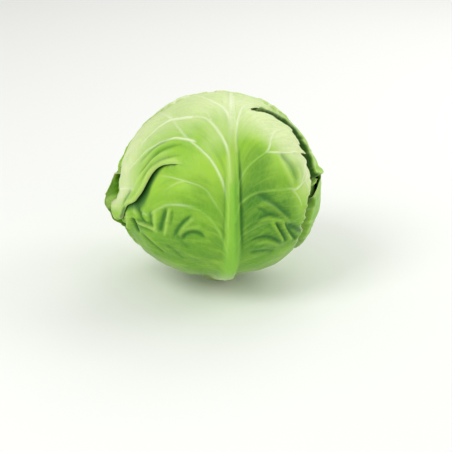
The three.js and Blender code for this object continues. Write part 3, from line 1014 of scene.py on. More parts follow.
@dataclass(frozen=True)
class LeafPaint:
    """How the painted values of a leaf follow its form. Reaches are in mm.

    mottle: how uneven its green is, over mottle_length; less_pale: wash that shows no bloom; lip_at,
    lip_reach, lip_height and lip_light: where the torn edge catches the light, how high it has to stand
    and how strongly, as a painted highlight; tucked and tear_gloom: where the painted shade and the
    black painted shadow below the tear fade out, in shares of the tear's shade; deep_furrow: tint at
    which a furrow's painted shade turns to black painted shadow; rim and torn_rim: reach of the pale
    rim, and its strength on a torn edge; dims: how far the painted shadow dims it; dry: reach of the
    dried brown; stem: degrees along over which the white of the stem fades.
    """

    mottle: float = 0.08
    mottle_length: float = 34.0
    less_pale: float = 0.04
    lip_at: float = 3.0
    lip_reach: float = 4.0
    lip_height: float = 0.3
    lip_light: float = 0.8
    tucked: tuple[float, float] = (0.7, 1.3)
    tear_gloom: tuple[float, float] = (0.4, 1.0)
    deep_furrow: tuple[float, float] = (1.2, 2.0)
    rim: float = 1.1
    torn_rim: float = 0.3
    dims: float = 0.8
    dry: float = 1.4
    stem: tuple[float, float] = (24.0, 62.0)

    def gloom(self, at: Places) -> Array:
        """Finds the painted shadow under other leaves' edges, in the deepest furrows and below the tear.

        Args:
            at: the places.

        Returns:
            The darkness of each, from 0 to 1.
        """
        leaf = at.leaf
        under = leaf.dusk_share(at.offset) * leaf.dusk_run(at.along) * (1 - smoothstep(*leaf.dusk, at.clear))
        return np.maximum.reduce([
            under,
            smoothstep(*self.deep_furrow, at.strokes.tint[Mark.FURROW]),
            self.below_tear(at, *self.tear_gloom),
        ])

    def below_tear(self, at: Places, start: float, end: float) -> Array:
        """How fully places lie in the shade below the tear, which fades from start to end of its reach."""
        shade = at.leaf.tear.shade(at.out) if at.leaf.tear else np.ones(len(at.rays))
        return np.where(at.upper, 0, 1 - smoothstep(start * shade, end * shade, at.from_tear))

    def values(self, at: Places, rib: Array, seed: int) -> dict[str, Array]:
        """Works out what the leaf's finish reads.

        Args:
            at: the places.
            rib: the rib's outline there, as a share.
            seed: seed of the mottling.

        Returns:
            Values from 0 to 1 for each place, by name.
        """
        tint = at.strokes.tint
        gloom = self.gloom(at)
        mottle = self.mottle * at.ripple(seed, self.mottle_length)
        # the wash is partly the green's own tone and partly painted: a painted highlight towards the crown
        # and painted shade low down
        wash = at.leaf.shade(at.along) + at.patched("wash") + mottle
        lip = bell(at.from_tear - self.lip_at, self.lip_reach) * (at.lift > self.lip_height)
        rim = np.maximum(np.exp(-at.margin / self.rim), self.torn_rim * np.exp(-at.from_tear / self.rim))
        dried = np.exp(-np.minimum(at.margin, at.from_tear) / self.dry)
        return {
            "pale": np.clip(wash - self.less_pale, 0, 1),
            "deep_and_shade": np.clip(-wash, 0, 1),
            # painted highlight on folds that stand out and along the torn lip
            "light": np.clip(tint[Mark.RIDGE] + self.lip_light * lip, 0, 1),
            "vein": np.clip(tint[Mark.VEIN], 0, 1),
            "rib": rib,
            "rim": rim * (1 - self.dims * gloom),
            # painted shade in furrows and where the lower panel tucks under the tear's lip
            "crease_shade": np.clip(tint[Mark.FURROW] + self.below_tear(at, *self.tucked), 0, 1),
            "shadow": gloom,
            "stem": 1 - smoothstep(*self.stem, at.along),
            "dry": np.clip(at.patched("dry"), 0, 1) * dried,
        }


@dataclass(frozen=True)
class LeafSkin:
    """The surface of a leaf over a set of places: both faces in mm, paint by name, and a flat chart."""

    outer: Array
    inner: Array
    paint: dict[str, Array]
    chart: Array


@dataclass(frozen=True)
class LeafSurface:
    """Works out where a leaf's two faces lie and how they are painted.

    Sizes are in mm. clearance: over what the leaf lies on; shoulder, shoulder_at and shoulder_reach: the
    swelling beside the margin of a leaf over it, and degrees clear of that; blade, margin_blade and
    blade_over: its thickness at mid leaf and at the margin, and the reach of the change; puff and
    puff_reach: how far it puffs between veins; beside_rib: where that starts, in half widths of the rib;
    uneven: swellings as (seed, size, length); wave, wave_pace, crinkle and crinkle_length: the waves of
    the margin; settle: how far a still margin settles, and flared the flare that keeps it from that;
    flare_bend: how late a flare turns out; edge_band and tip_band: width of the margin, in degrees and
    in degrees per station; deepest: the lowest that folds may reach; rib_share: share of the columns
    that the rib takes, rib_most: most of the width that it may take; outward: how much closer columns
    stand near the margin; paint: how it is coloured.
    """

    layer: int
    clearance: float = 0.9
    shoulder: float = 1.6
    shoulder_at: float = 6.5
    shoulder_reach: float = 3.5
    blade: float = 0.95
    margin_blade: float = 0.45
    blade_over: float = 2.2
    puff: float = 1.3
    puff_reach: float = 7.0
    beside_rib: tuple[float, float] = (1.0, 3.0)
    uneven: tuple[tuple[int, float, float], ...] = ((21, 0.55, 46.0), (31, 0.26, 14.0), (51, 0.07, 6.0))
    wave: float = 0.6
    wave_pace: float = 0.52
    crinkle: float = 0.35
    crinkle_length: float = 16.0
    crinkle_seed: int = 11
    mottle_seed: int = 41
    settle: float = 0.7
    flared: tuple[float, float] = (0.2, 1.6)
    flare_bend: float = 1.4
    edge_band: float = 9.0
    tip_band: float = 1.4
    deepest: float = -1.9
    rib_share: float = 0.12
    rib_most: float = 0.6
    outward: float = 0.1
    paint: LeafPaint = LeafPaint()

    @property
    def leaf(self) -> Leaf:
        """The leaf of this layer."""
        return LAYERS.leaves[self.layer]

    def ragged(self, station: Array, offset: Array) -> Array:
        """Works out the margin's small lobes and nicks.

        Args:
            station: stations of places at the margin.
            offset: their side: below 0 on the left.

        Returns:
            How far the margin runs out there, in degrees, and below 0 where it runs in.
        """
        phase = self.leaf.azimuth + np.where(offset < 0, *LOBE_PHASES)
        quick, slow = (beat(station, phase) for beat in NICK_BEATS)
        nick = NICK_DEPTH * np.maximum(0, quick * slow) ** 4
        torn = np.zeros(len(station))
        for side, sign in ((self.leaf.left, -1), (self.leaf.right, 1)):
            for place, depth, reach in side.nicks:
                torn = torn + depth * bell(station - place, reach) * (np.sign(offset) == sign)
        return smoothstep(*LOBE_START, station) * (LOBES(station, phase) - nick) - torn

    def out_of(self, station: Array, column: Array, upper: Array) -> tuple[Array, Array]:
        """Spreads columns over the leaf's width.

        Args:
            station: stations.
            column: places across, from -1 at the left margin to 1 at the right.
            upper: whether each place is past the tear.

        Returns:
            Degrees out from the rib, and the half width there.
        """
        width = self.leaf.half_width(station, column, upper) + self.ragged(station, column)
        rib = np.minimum(self.rib_most * width, RIB_HALF_WIDTH(station))
        u = np.abs(column)
        blade = np.clip((u - self.rib_share) / (1 - self.rib_share), 0, 1)
        blade = blade + self.outward * np.sin(math.pi * blade) * blade
        return np.where(u < self.rib_share, u / self.rib_share * rib, rib + (width - rib) * blade), width

    def torn(self, station: Array, offset: Array, upper: Array) -> tuple[Array, Array, Array]:
        """What the tear does to places on the leaf.

        Args:
            station: stations.
            offset: signed offsets from the rib, in degrees.
            upper: whether each place is past the tear.

        Returns:
            How far each place is lifted in mm, how far it slides along in degrees, and how far it
            lies from the torn edge in mm (large where the leaf isn't torn).
        """
        tear = self.leaf.tear
        still = np.zeros(len(station))
        if not tear:
            return still, still, still + FAR
        out = np.abs(offset)
        side = (np.sign(offset) == tear.side.value) & (out > tear.start)
        opened = np.where(side, smoothstep(0, tear.opens_over, out - tear.start), 0)
        edge = self.leaf.along_of(np.full(len(station), tear.station), offset)
        away = np.abs(self.leaf.along_of(station, offset) - edge)
        closing = 1 - tear.closes_by * smoothstep(*tear.closes, out)
        lift = np.where(upper, tear.lift * opened * closing * tear.lip(away), 0)
        tuck = tear.tuck * opened * (1 - smoothstep(0, tear.tuck_over, away))
        tail = tear.tail * smoothstep(*tear.tail_runs, out) * (1 - smoothstep(0, tear.tail_over, away)) * side
        shut = np.maximum(0, tear.start + tear.end_fade - out)
        return lift, np.where(upper, -tail, tuck), np.where(side, (away + shut) * MM_PER_DEGREE, FAR)

    def rib_form(self, station: Array, offset: Array) -> tuple[Array, Array]:
        """Shapes the rib.

        Args:
            station: stations.
            offset: signed offsets from the rib, in degrees.

        Returns:
            The rib's height in mm, with its grooves, and its outline as a share.
        """
        across = offset / RIB_HALF_WIDTH(station)
        start, end = (np.where(across < 0, *ends) for ends in zip(LEFT_FLANK, RIGHT_FLANK))
        outline = 1 - smoothstep(start, end, np.abs(across))
        grooves = sum(depth * bell(across - place, reach) for place, reach, depth in RIB_GROOVES)
        share = LAYERS.hidden_rib if self.leaf.hidden else 1.0
        return share * RIB_HEIGHT(station) * outline * (1 - grooves), outline

    def places(self, station: Array, column: Array, upper: Array) -> Places:
        """Measures places on the leaf.

        Args:
            station: stations of the places.
            column: places across the leaf, from -1 at the left margin to 1 at the right.
            upper: whether each place is past the tear.

        Returns:
            The places.
        """
        leaf = self.leaf
        out, width = self.out_of(station, column, upper)
        offset = np.where(column < 0, -out, out)
        lift, slide, from_tear = self.torn(station, offset, upper)
        along = leaf.along_of(station, offset) + slide
        lateral = leaf.rib_drift(station) + offset
        rays = leaf.rays_of(along, lateral)
        margin = np.minimum(width - out, self.tip_band * (leaf.tip - station))
        edge = 1 - smoothstep(0, self.edge_band, margin)
        return Places(
            leaf, station, along, offset, lateral, out, upper, rays, lift, from_tear,
            margin * MM_PER_DEGREE, edge, LAYERS.clear_of(self.layer, rays), StrokeField(leaf, rays),
        )

    def raised(self, at: Places, free: Array) -> Array:
        """How far the blade stands off what it lies on, in mm.

        Args:
            at: the places.
            free: how freely each may move, from 0 under another leaf to 1.

        Returns:
            The rise at each place.
        """
        flare = self.leaf.by_side("flare", at.station, at.offset)
        wave = self.wave * at.edge * (1 + np.sin(self.wave_pace * at.station + self.leaf.azimuth))
        crinkle = self.crinkle * at.edge**2 * at.ripple(self.crinkle_seed + self.layer, self.crinkle_length)
        beside_rib = smoothstep(*self.beside_rib, at.out / RIB_HALF_WIDTH(at.station))
        puff = self.puff * (1 - bell(at.strokes.to_vein, self.puff_reach)) * (1 - at.edge)
        uneven = sum(size * at.ripple(seed + self.layer, length) for seed, size, length in self.uneven)
        folds = at.strokes.relief[Mark.RIDGE] + at.strokes.relief[Mark.FURROW]
        bulge = at.patched("swell") + self.shoulder * bell(at.clear - self.shoulder_at, self.shoulder_reach)
        still = self.settle * at.edge**2 * (1 - smoothstep(*self.flared, flare))
        swell = free * (wave + crinkle + (puff + uneven) * beside_rib + folds + bulge - still)
        return np.maximum(swell + flare * at.edge**self.flare_bend + at.lift, self.deepest * free)

    def skin(self, station: Array, column: Array, upper: Array) -> LeafSkin:
        """Works out the surface.

        Args:
            station: stations of the places.
            column: places across the leaf, from -1 at the left margin to 1 at the right.
            upper: whether each place is past the tear.

        Returns:
            The leaf's surface at those places.
        """
        at = self.places(station, column, upper)
        free = smoothstep(LAYERS.berth, LAYERS.fade, at.clear)
        inner = LAYERS.floor(self.layer, at.rays) + self.clearance + self.raised(at, free)
        rib, rib_outline = self.rib_form(station, at.offset)
        body = 1 - np.exp(-np.minimum(at.margin, at.from_tear) / self.blade_over)
        blade = self.margin_blade + (self.blade - self.margin_blade) * body
        outer = inner + blade + rib + at.strokes.relief[Mark.VEIN] * free * (1 - at.edge**2)
        return LeafSkin(
            outer=HEAD.points(at.rays, outer),
            inner=HEAD.points(at.rays, inner),
            paint=self.paint.values(at, rib_outline, self.mottle_seed + self.layer),
            chart=np.stack([at.offset, station], 1) * (MM_PER_DEGREE / CHART_UNIT),
        )


# ---------------------------------------------------------------- meshes and their finishes


def linear(colour: str) -> Tone:
    """Turns an sRGB hex colour to linear values with full cover.

    Args:
        colour: the hex colour.

    Returns:
        Its linear red, green, blue and cover.
    """
    parts = [int(colour[i:i + 2], 16) / 255 for i in (1, 3, 5)]
    red, green, blue = (c / 12.92 if c <= 0.04045 else ((c + 0.055) / 1.055) ** 2.4 for c in parts)
    return red, green, blue, 1.0


def add(
    tree: bpy.types.NodeTree,
    kind: str,
    inputs: dict[str | int, bpy.types.NodeSocket | float | tuple[float, ...]] | None = None,
    **settings: str | float | bool,
) -> bpy.types.Node:
    """Adds a node.

    Args:
        tree: the node tree.
        kind: the node's type.
        inputs: for each of its input sockets, the socket that feeds it or its value.
        settings: the node's own settings.

    Returns:
        The node.
    """
    node = tree.nodes.new(kind)
    for name, value in settings.items():
        setattr(node, name, value)
    for name, value in (inputs or {}).items():
        if isinstance(value, bpy.types.NodeSocket):
            tree.links.new(value, node.inputs[name])
        else:
            node.inputs[name].default_value = value
    return node


# the values that each leaf is painted with, among them painted highlights, painted shade and painted shadow,
# and a pale and a darker green that are partly painted light and shade
PAINTED = ("pale", "deep_and_shade", "light", "vein", "rib", "rim", "crease_shade", "shadow", "stem", "dry")


def blank_material(name: str) -> tuple[bpy.types.Material, bpy.types.NodeTree]:
    """Makes a material with an empty node tree.

    Args:
        name: the material's name.

    Returns:
        The material and its tree.
    """
    material = bpy.data.materials.new(name)
    material.use_nodes = True
    material.node_tree.nodes.clear()
    return material, material.node_tree


@dataclass(frozen=True)
class Coat:
    """A colour over what is under it, as strong as a pattern or a painted value is.

    tone and source: names of the colour and of what it follows; low and high: where that begins and
    is full; cover: how much the full coat hides; within: a value that it is limited by.
    """

    tone: str
    source: str
    low: float = 0.0
    high: float = 1.0
    cover: float = 1.0
    within: str | None = None


@dataclass
class Palette:
    """The colours and the patterns of a material by name, with which coats are laid."""

    tree: bpy.types.NodeTree
    tones: dict[str, Tone]
    sources: dict[str, bpy.types.NodeSocket]

    def lay(self, under: str, *coats: Coat) -> Tone:
        """Lays coats of colour over one.

        Args:
            under: name of the lowest colour.
            coats: the coats over it, from the lowest up.

        Returns:
            The colour that shows.
        """
        shown = self.tones[under]
        for coat in coats:
            spread = {
                "Value": self.sources[coat.source],
                "From Min": coat.low,
                "From Max": coat.high,
                "To Min": 0.0,
                "To Max": coat.cover,
            }
            share = add(self.tree, "ShaderNodeMapRange", spread).outputs["Result"]
            if coat.within:
                limits = {0: share, 1: self.sources[coat.within]}
                share = add(self.tree, "ShaderNodeMath", limits, operation="MULTIPLY").outputs[0]
            layers = {0: share, 6: shown, 7: self.tones[coat.tone]}
            shown = add(self.tree, "ShaderNodeMix", layers, data_type="RGBA").outputs[2]
        return shown


@dataclass(frozen=True)
class LeafFinish:
    """Fresh cabbage leaf, smooth from growth: a satin wax cuticle over juicy green tissue.

    The wax gives broad soft highlights and a whitish bloom, and the pale of the bloom is partly a
    painted highlight; the tissue lets some light through, so that it glows yellow-green, and its veins
    are pale and raised. Over the green lie painted highlights on raised folds and the torn lip, painted
    shade in furrows, below the tear and low on the leaf, and painted shadow under the edges of other
    leaves. Patches, mottling, streaks, nets of fine veins and their relief are in mm, and spots is how
    many lie in a metre.
    """

    name: str
    blade: str = "#86be30"
    fresh: str = "#a5d245"
    # the whitish bloom, partly a painted highlight
    pale: str = "#deebb2"
    # darker green, partly its own tone and partly painted shade
    deep_and_shade: str = "#2c7a1f"
    light: str = "#c6e57c"
    vein: str = "#eff7d4"
    # veins where the green is darker, partly painted shade
    shaded_vein: str = "#9bcd52"
    rib: str = "#acce56"
    low_rib: str = "#90ce42"
    # painted highlight on folds that stand out and on the torn lip
    stem: str = "#e9efcd"
    # painted shade in furrows and below the tear
    crease_shade: str = "#236a20"
    shadow: str = "#164a0c"
    rim: str = "#e6f0bf"
    speck: str = "#8a6a34"
    patch: float = 30.0
    mottling: tuple[float, float] = (34.0, 11.0)
    streak: tuple[float, float] = (26.0, 2.6)
    spots: float = 420.0
    nets: tuple[tuple[str, float], ...] = (("net", 5.5), ("fine_net", 2.0))
    net_line: float = 0.13
    relief: float = 0.6
    relief_shares: tuple[tuple[str, float], ...] = (("net", 0.5), ("fine_net", 0.2), ("streaks", 0.9))
    roughness: tuple[float, float] = (0.34, 0.52)

    def patterns(self, tree: bpy.types.NodeTree) -> dict[str, bpy.types.NodeSocket]:
        """Makes the patterns that the leaf's colour and relief follow.

        Args:
            tree: the material's node tree.

        Returns:
            Their sockets by name.
        """
        place = add(tree, "ShaderNodeTexCoord").outputs["Object"]
        chart = add(tree, "ShaderNodeUVMap", uv_map="chart").outputs["UV"]
        drawn_out = []
        for size in (self.streak, self.mottling):
            stretch = (*(CHART_UNIT / side for side in size), 1.0)
            drawn_out.append(add(tree, "ShaderNodeMapping", {"Vector": chart, "Scale": stretch}))
        stretched, mottled = (node.outputs["Vector"] for node in drawn_out)
        noises = {
            "patches": (place, 1 / (self.patch * MM), 3.0, 0.5),
            "streaks": (stretched, 1.0, 4.0, 0.55),
            "mottle": (mottled, 1.0, 3.0, 0.6),
            "spots": (place, self.spots, 2.0, 0.6),
        }
        made = {}
        for name, (vector, scale, detail, rough) in noises.items():
            inputs = {"Vector": vector, "Scale": scale, "Detail": detail, "Roughness": rough}
            made[name] = add(tree, "ShaderNodeTexNoise", inputs).outputs["Fac"]
        for name, cell in self.nets:
            inputs = {"Vector": chart, "Scale": CHART_UNIT / cell, "Randomness": 0.9}
            cells = add(tree, "ShaderNodeTexVoronoi", inputs, feature="DISTANCE_TO_EDGE")
            to_edge = cells.outputs["Distance"]
            line = {"Value": to_edge, "From Max": self.net_line, "To Min": 1.0, "To Max": 0.0}
            drawn = add(tree, "ShaderNodeMapRange", line, interpolation_type="SMOOTHSTEP")
            made[name] = drawn.outputs["Result"]
        return made

    def colour(self, palette: Palette) -> Tone:
        """Lays the green with its painted shade, the bloom with its painted highlight, the veins and rib, the
        painted highlights and shade of the folds, the painted shadow, the margin and the spots.

        Args:
            palette: the leaf's colours and patterns.

        Returns:
            The colour that shows.
        """
        # veins darken where the green does, partly as painted shade
        palette.tones["veins"] = palette.lay("vein", Coat("shaded_vein", "deep_and_shade", high=0.5))
        # the painted highlight of raised folds, greener where the green is darker and paler where it is pale
        palette.tones["ridge_highlight"] = palette.lay("light", Coat("fresh", "deep_and_shade"), Coat("pale", "pale"))
        palette.tones["strands"] = palette.lay(
            "rib",
            Coat("low_rib", "deep_and_shade", high=0.4),
            Coat("vein", "pale"),
            Coat("low_rib", "streaks", 0.45, 0.75, 0.35),
            Coat("stem", "stem"),
        )
        return palette.lay(
            "blade",
            Coat("fresh", "patches", 0.35, 0.65),
            # darker green where the wash is low, partly painted shade, broken by streaks
            Coat("deep_and_shade", "streaks", 0.1, 0.5, within="deep_and_shade"),
            Coat("deep_and_shade", "mottle", 0.52, 0.78, 0.4),
            Coat("fresh", "mottle", 0.46, 0.26, 0.6),
            Coat("fresh", "streaks", 0.35, 0.7, 0.45),
            # the bloom, partly a painted highlight
            Coat("pale", "pale"),
            Coat("fresh", "streaks", 0.35, 0.7, 0.3, within="pale"),
            Coat("fresh", "net", cover=0.12),
            Coat("veins", "vein", cover=0.92),
            Coat("strands", "rib", cover=0.85),
            Coat("stem", "stem", cover=0.35),
            # painted highlight on raised folds and the torn lip
            Coat("ridge_highlight", "light", cover=0.8),
            # painted shade in furrows and below the tear
            Coat("crease_shade", "crease_shade", cover=0.85),
            Coat("shadow", "shadow", cover=0.95),
            Coat("rim", "rim", cover=0.85),
            Coat("speck", "spots", 0.62, 0.72, 0.8, within="rim"),
            Coat("speck", "spots", 0.3, 0.5, within="dry"),
        )

    def make(self) -> bpy.types.Material:
        """Builds the material.

        Returns:
            The material.
        """
        material, tree = blank_material(self.name)
        tones = {name: linear(value) for name, value in vars(self).items() if str(value).startswith("#")}
        sources = self.patterns(tree)
        for name in PAINTED:
            sources[name] = add(tree, "ShaderNodeAttribute", attribute_name=name).outputs["Fac"]
        relief: bpy.types.NodeSocket | float = 0.0
        for name, share in self.relief_shares:
            sums = {0: sources[name], 1: share, 2: relief}
            relief = add(tree, "ShaderNodeMath", sums, operation="MULTIPLY_ADD").outputs[0]
        bump = add(tree, "ShaderNodeBump", {"Height": relief, "Strength": 0.35, "Distance": self.relief * MM})
        low, high = self.roughness
        rough = add(tree, "ShaderNodeMapRange", {"Value": sources["streaks"], "To Min": low, "To Max": high})
        # shaded creases are matt, so that nothing shines in them
        matt = {0: rough.outputs["Result"], 1: sources["shadow"]}
        shader = add(
            tree,
            "ShaderNodeBsdfPrincipled",
            {
                "Base Color": self.colour(Palette(tree, tones, sources)),
                "Roughness": add(tree, "ShaderNodeMath", matt, operation="MAXIMUM").outputs[0],
                "Normal": bump.outputs["Normal"],
                "IOR": 1.45,
                "Specular IOR Level": 0.3,
                "Subsurface Weight": 0.3,
                "Subsurface Radius": (0.7, 1.0, 0.2),
                "Subsurface Scale": 0.0016,
            },
        )
        add(tree, "ShaderNodeOutputMaterial", {"Surface": shader.outputs["BSDF"]})
        return material


@dataclass(frozen=True)
class HeartFinish:
    """Inner cabbage leaf folded tight, kept from the light: pale, crisp, moist and satin.

    It shows as soft pale and greenish patches, in mm, under a net of veins, of which nets lie in a
    metre.
    """

    name: str = "folded_heart_leaf"
    pale: str = "#e4ebb8"
    green: str = "#c3d987"
    roughness: float = 0.45
    patch: float = 28.0
    nets: float = 120.0
    net_line: float = 0.1
    relief: float = 0.5

    def make(self) -> bpy.types.Material:
        """Builds the material.

        Returns:
            The material.
        """
        material, tree = blank_material(self.name)
        place = add(tree, "ShaderNodeTexCoord").outputs["Object"]
        patches = {"Vector": place, "Scale": 1 / (self.patch * MM), "Detail": 5.0}
        cells = {"Vector": place, "Scale": self.nets}
        to_edge = add(tree, "ShaderNodeTexVoronoi", cells, feature="DISTANCE_TO_EDGE").outputs["Distance"]
        line = {"Value": to_edge, "From Max": self.net_line, "To Min": 1.0, "To Max": 0.0}
        sources = {
            "patches": add(tree, "ShaderNodeTexNoise", patches).outputs["Fac"],
            "net": add(tree, "ShaderNodeMapRange", line).outputs["Result"],
        }
        palette = Palette(tree, {"pale": linear(self.pale), "green": linear(self.green)}, sources)
        height = {"Height": sources["net"], "Strength": 0.3, "Distance": self.relief * MM}
        shader = add(
            tree,
            "ShaderNodeBsdfPrincipled",
            {
                "Base Color": palette.lay("pale", Coat("green", "patches"), Coat("pale", "net", cover=0.5)),
                "Roughness": self.roughness,
                "Normal": add(tree, "ShaderNodeBump", height).outputs["Normal"],
                "Subsurface Weight": 0.15,
                "Subsurface Scale": 0.003,
            },
        )
        add(tree, "ShaderNodeOutputMaterial", {"Surface": shader.outputs["BSDF"]})
        return material


@dataclass(frozen=True)
class StumpFinish:
    """Cut cabbage stem: cream pith with a fibrous ring, knife-cut and slightly damp, in a green rind.

    It shows as fine fibre grain and soft brownish stains, of which grains and stains lie in a metre.
    """

    name: str = "cut_cabbage_stem"
    pith: str = "#ece8cf"
    fibre: str = "#cfc79b"
    rind: str = "#b9cf86"
    dry: str = "#a98f5f"
    roughness: float = 0.5
    grains: float = 700.0
    stains: float = 130.0
    relief: float = 0.4

    def make(self) -> bpy.types.Material:
        """Builds the material.

        Returns:
            The material.
        """
        material, tree = blank_material(self.name)
        place = add(tree, "ShaderNodeTexCoord").outputs["Object"]
        sources = {}
        for name in ("fibre", "rind"):
            sources[name] = add(tree, "ShaderNodeAttribute", attribute_name=name).outputs["Fac"]
        for name, scale, detail in (("grain", self.grains, 4.0), ("stain", self.stains, 3.0)):
            inputs = {"Vector": place, "Scale": scale, "Detail": detail}
            sources[name] = add(tree, "ShaderNodeTexNoise", inputs).outputs["Fac"]
        tones = {name: linear(getattr(self, name)) for name in ("pith", "fibre", "rind", "dry")}
        colour = Palette(tree, tones, sources).lay(
            "pith",
            Coat("fibre", "grain", within="fibre"),
            Coat("dry", "stain", 0.5, 0.75, 0.5),
            Coat("rind", "rind"),
        )
        height = {"Height": sources["grain"], "Strength": 0.4, "Distance": self.relief * MM}
        bump = add(tree, "ShaderNodeBump", height).outputs["Normal"]
        inputs = {"Base Color": colour, "Roughness": self.roughness, "Normal": bump}
        shader = add(tree, "ShaderNodeBsdfPrincipled", inputs)
        add(tree, "ShaderNodeOutputMaterial", {"Surface": shader.outputs["BSDF"]})
        return material


@dataclass(frozen=True)
class FloorFinish:
    """Matt white studio paper."""

    name: str = "matt_white_paper"
    paper: str = "#f4f5f1"

    def make(self) -> bpy.types.Material:
        """Builds the material.

        Returns:
            The material.
        """
        material, tree = blank_material(self.name)
        shader = add(tree, "ShaderNodeBsdfPrincipled", {"Base Color": linear(self.paper), "Roughness": 0.9})
        add(tree, "ShaderNodeOutputMaterial", {"Surface": shader.outputs["BSDF"]})
        return material


def finish_piece(bm: bmesh.types.BMesh, name: str, material: bpy.types.Material) -> bpy.types.Object:
    """Turns a bmesh in metres to a smooth-shaded object at the origin.

    Args:
        bm: the finished shape, which is freed.
        name: the piece's name.
        material: its finish.

    Returns:
        The object.
    """
    bmesh.ops.recalc_face_normals(bm, faces=bm.faces)
    mesh = bpy.data.meshes.new(name)
    bm.to_mesh(mesh)
    bm.free()
    mesh.materials.append(material)
    mesh.polygons.foreach_set("use_smooth", np.ones(len(mesh.polygons), bool))
    piece = bpy.data.objects.new(name, mesh)
    bpy.context.scene.collection.objects.link(piece)
    return piece


def paint_on(piece: bpy.types.Object, paint: dict[str, Array]) -> None:
    """Stores values by name on the piece's vertices.

    Args:
        piece: the piece.
        paint: a value for each of its vertices, by name.
    """
    for name, values in paint.items():
        layer = piece.data.attributes.new(name, "FLOAT", "POINT")
        layer.data.foreach_set("value", np.asarray(values, np.float32))


def place_vertices(bm: bmesh.types.BMesh, points: Array) -> None:
    """Moves a bmesh's vertices to points given in mm."""
    for vertex, point in zip(bm.verts, (points * MM).tolist()):
        vertex.co = point


@dataclass
class LeafShell:
    """One leaf as a closed thin shell, split along its tear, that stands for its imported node.

    trace: stations that the spacing of rows is worked out at; far_out: offsets from the rib, in degrees,
    at which rows have to lie close enough; coarse_ends and coarse_share: the stations beyond which rows
    lie further apart, and how many of them are left there.
    """

    surface: LeafSurface
    finish: bpy.types.Material
    suffix: str = "_dressed"
    trace: int = 1200
    far_out: tuple[float, ...] = (0.0, 30.0, 55.0)
    coarse_ends: tuple[float, float] = (52.0, 178.0)
    coarse_share: float = 0.6

    @property
    def leaf(self) -> Leaf:
        """The leaf that is built."""
        return self.surface.leaf

    def stations(self) -> Array:
        """Spaces the rows, closer where they fan apart, and with one exactly on the tear.

        Returns:
            The station of each row.
        """
        leaf = self.leaf
        fine = np.linspace(leaf.base, leaf.tip, self.trace)
        spread = np.ones(len(fine))
        for out in self.far_out:
            for sign in (-1, 1):
                along = leaf.along_of(fine, np.full(len(fine), sign * out))
                spread = np.maximum(spread, np.abs(np.gradient(along, fine)))
        low, high = self.coarse_ends
        spread = spread * np.where((fine < low) | (fine > high), self.coarse_share, 1.0)
        reach = np.concatenate([[0], np.cumsum((spread[1:] + spread[:-1]) / 2)])
        stations = np.interp(np.linspace(0, reach[-1], leaf.rows + 1), reach, fine)
        if leaf.tear:
            stations[np.abs(stations - leaf.tear.station).argmin()] = leaf.tear.station
        return stations

    def split_tear(self, bm: bmesh.types.BMesh, stations: Array) -> bmesh.types.BMLayerItem:
        """Splits the flat grid along the tear, and marks what lies past it.

        Args:
            bm: the grid, from -1 to 1 across and up.
            stations: the station of each row.

        Returns:
            The vertex layer that is 1 past the tear.
        """
        panel = bm.verts.layers.int.new("panel")
        tear = self.leaf.tear
        if not tear:
            return panel
        row = 2 * np.abs(stations - tear.station).argmin() / self.leaf.rows - 1
        close = 0.5 / self.leaf.rows
        on_row = [v for v in bm.verts if abs(v.co.y - row) < close]
        column = np.array([v.co.x for v in on_row])
        out, _ = self.surface.out_of(np.full(len(column), tear.station), column, np.zeros(len(column), bool))
        opened = {v for v, o in zip(on_row, out) if v.co.x * tear.side.value > 0 and o > tear.start}
        cut = [e for e in bm.edges if e.verts[0] in opened and e.verts[1] in opened]
        bmesh.ops.split_edges(bm, edges=cut)
        for vertex in bm.verts:
            past = vertex.co.y > row + close
            if abs(vertex.co.y - row) < close:
                past = all(f.calc_center_median().y > row for f in vertex.link_faces)
            vertex[panel] = int(past)
        return panel

    def build(self) -> bpy.types.Object:
        """Builds the leaf.

        Returns:
            The finished piece.
        """
        leaf = self.leaf
        stations = self.stations()
        bm = bmesh.new()
        bmesh.ops.create_grid(bm, x_segments=leaf.columns, y_segments=leaf.rows, size=1.0)
        panel = self.split_tear(bm, stations)
        flat = np.array([v.co for v in bm.verts])
        rows = np.rint((flat[:, 1] + 1) / 2 * leaf.rows).astype(int)
        skin = self.surface.skin(stations[rows], flat[:, 0], np.array([v[panel] for v in bm.verts], bool))
        place = bm.verts.layers.int.new("place")
        for number, vertex in enumerate(bm.verts):
            vertex[place] = number
        grown = bmesh.ops.extrude_face_region(bm, geom=bm.faces[:], use_keep_orig=True)["geom"]
        over = {part for part in grown if isinstance(part, bmesh.types.BMVert)}
        outside = np.array([v in over for v in bm.verts])
        origin = np.array([v[place] for v in bm.verts])
        place_vertices(bm, np.where(outside[:, None], skin.outer[origin], skin.inner[origin]))
        piece = finish_piece(bm, leaf.name + self.suffix, self.finish)
        paint_on(piece, {name: values[origin] for name, values in skin.paint.items()})
        corner = np.zeros(len(piece.data.loops), int)
        piece.data.loops.foreach_get("vertex_index", corner)
        chart = piece.data.uv_layers.new(name="chart")
        chart.data.foreach_set("uv", skin.chart[origin][corner].astype(np.float32).ravel())
        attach(piece, "root")
        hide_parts(leaf.name)
        return piece


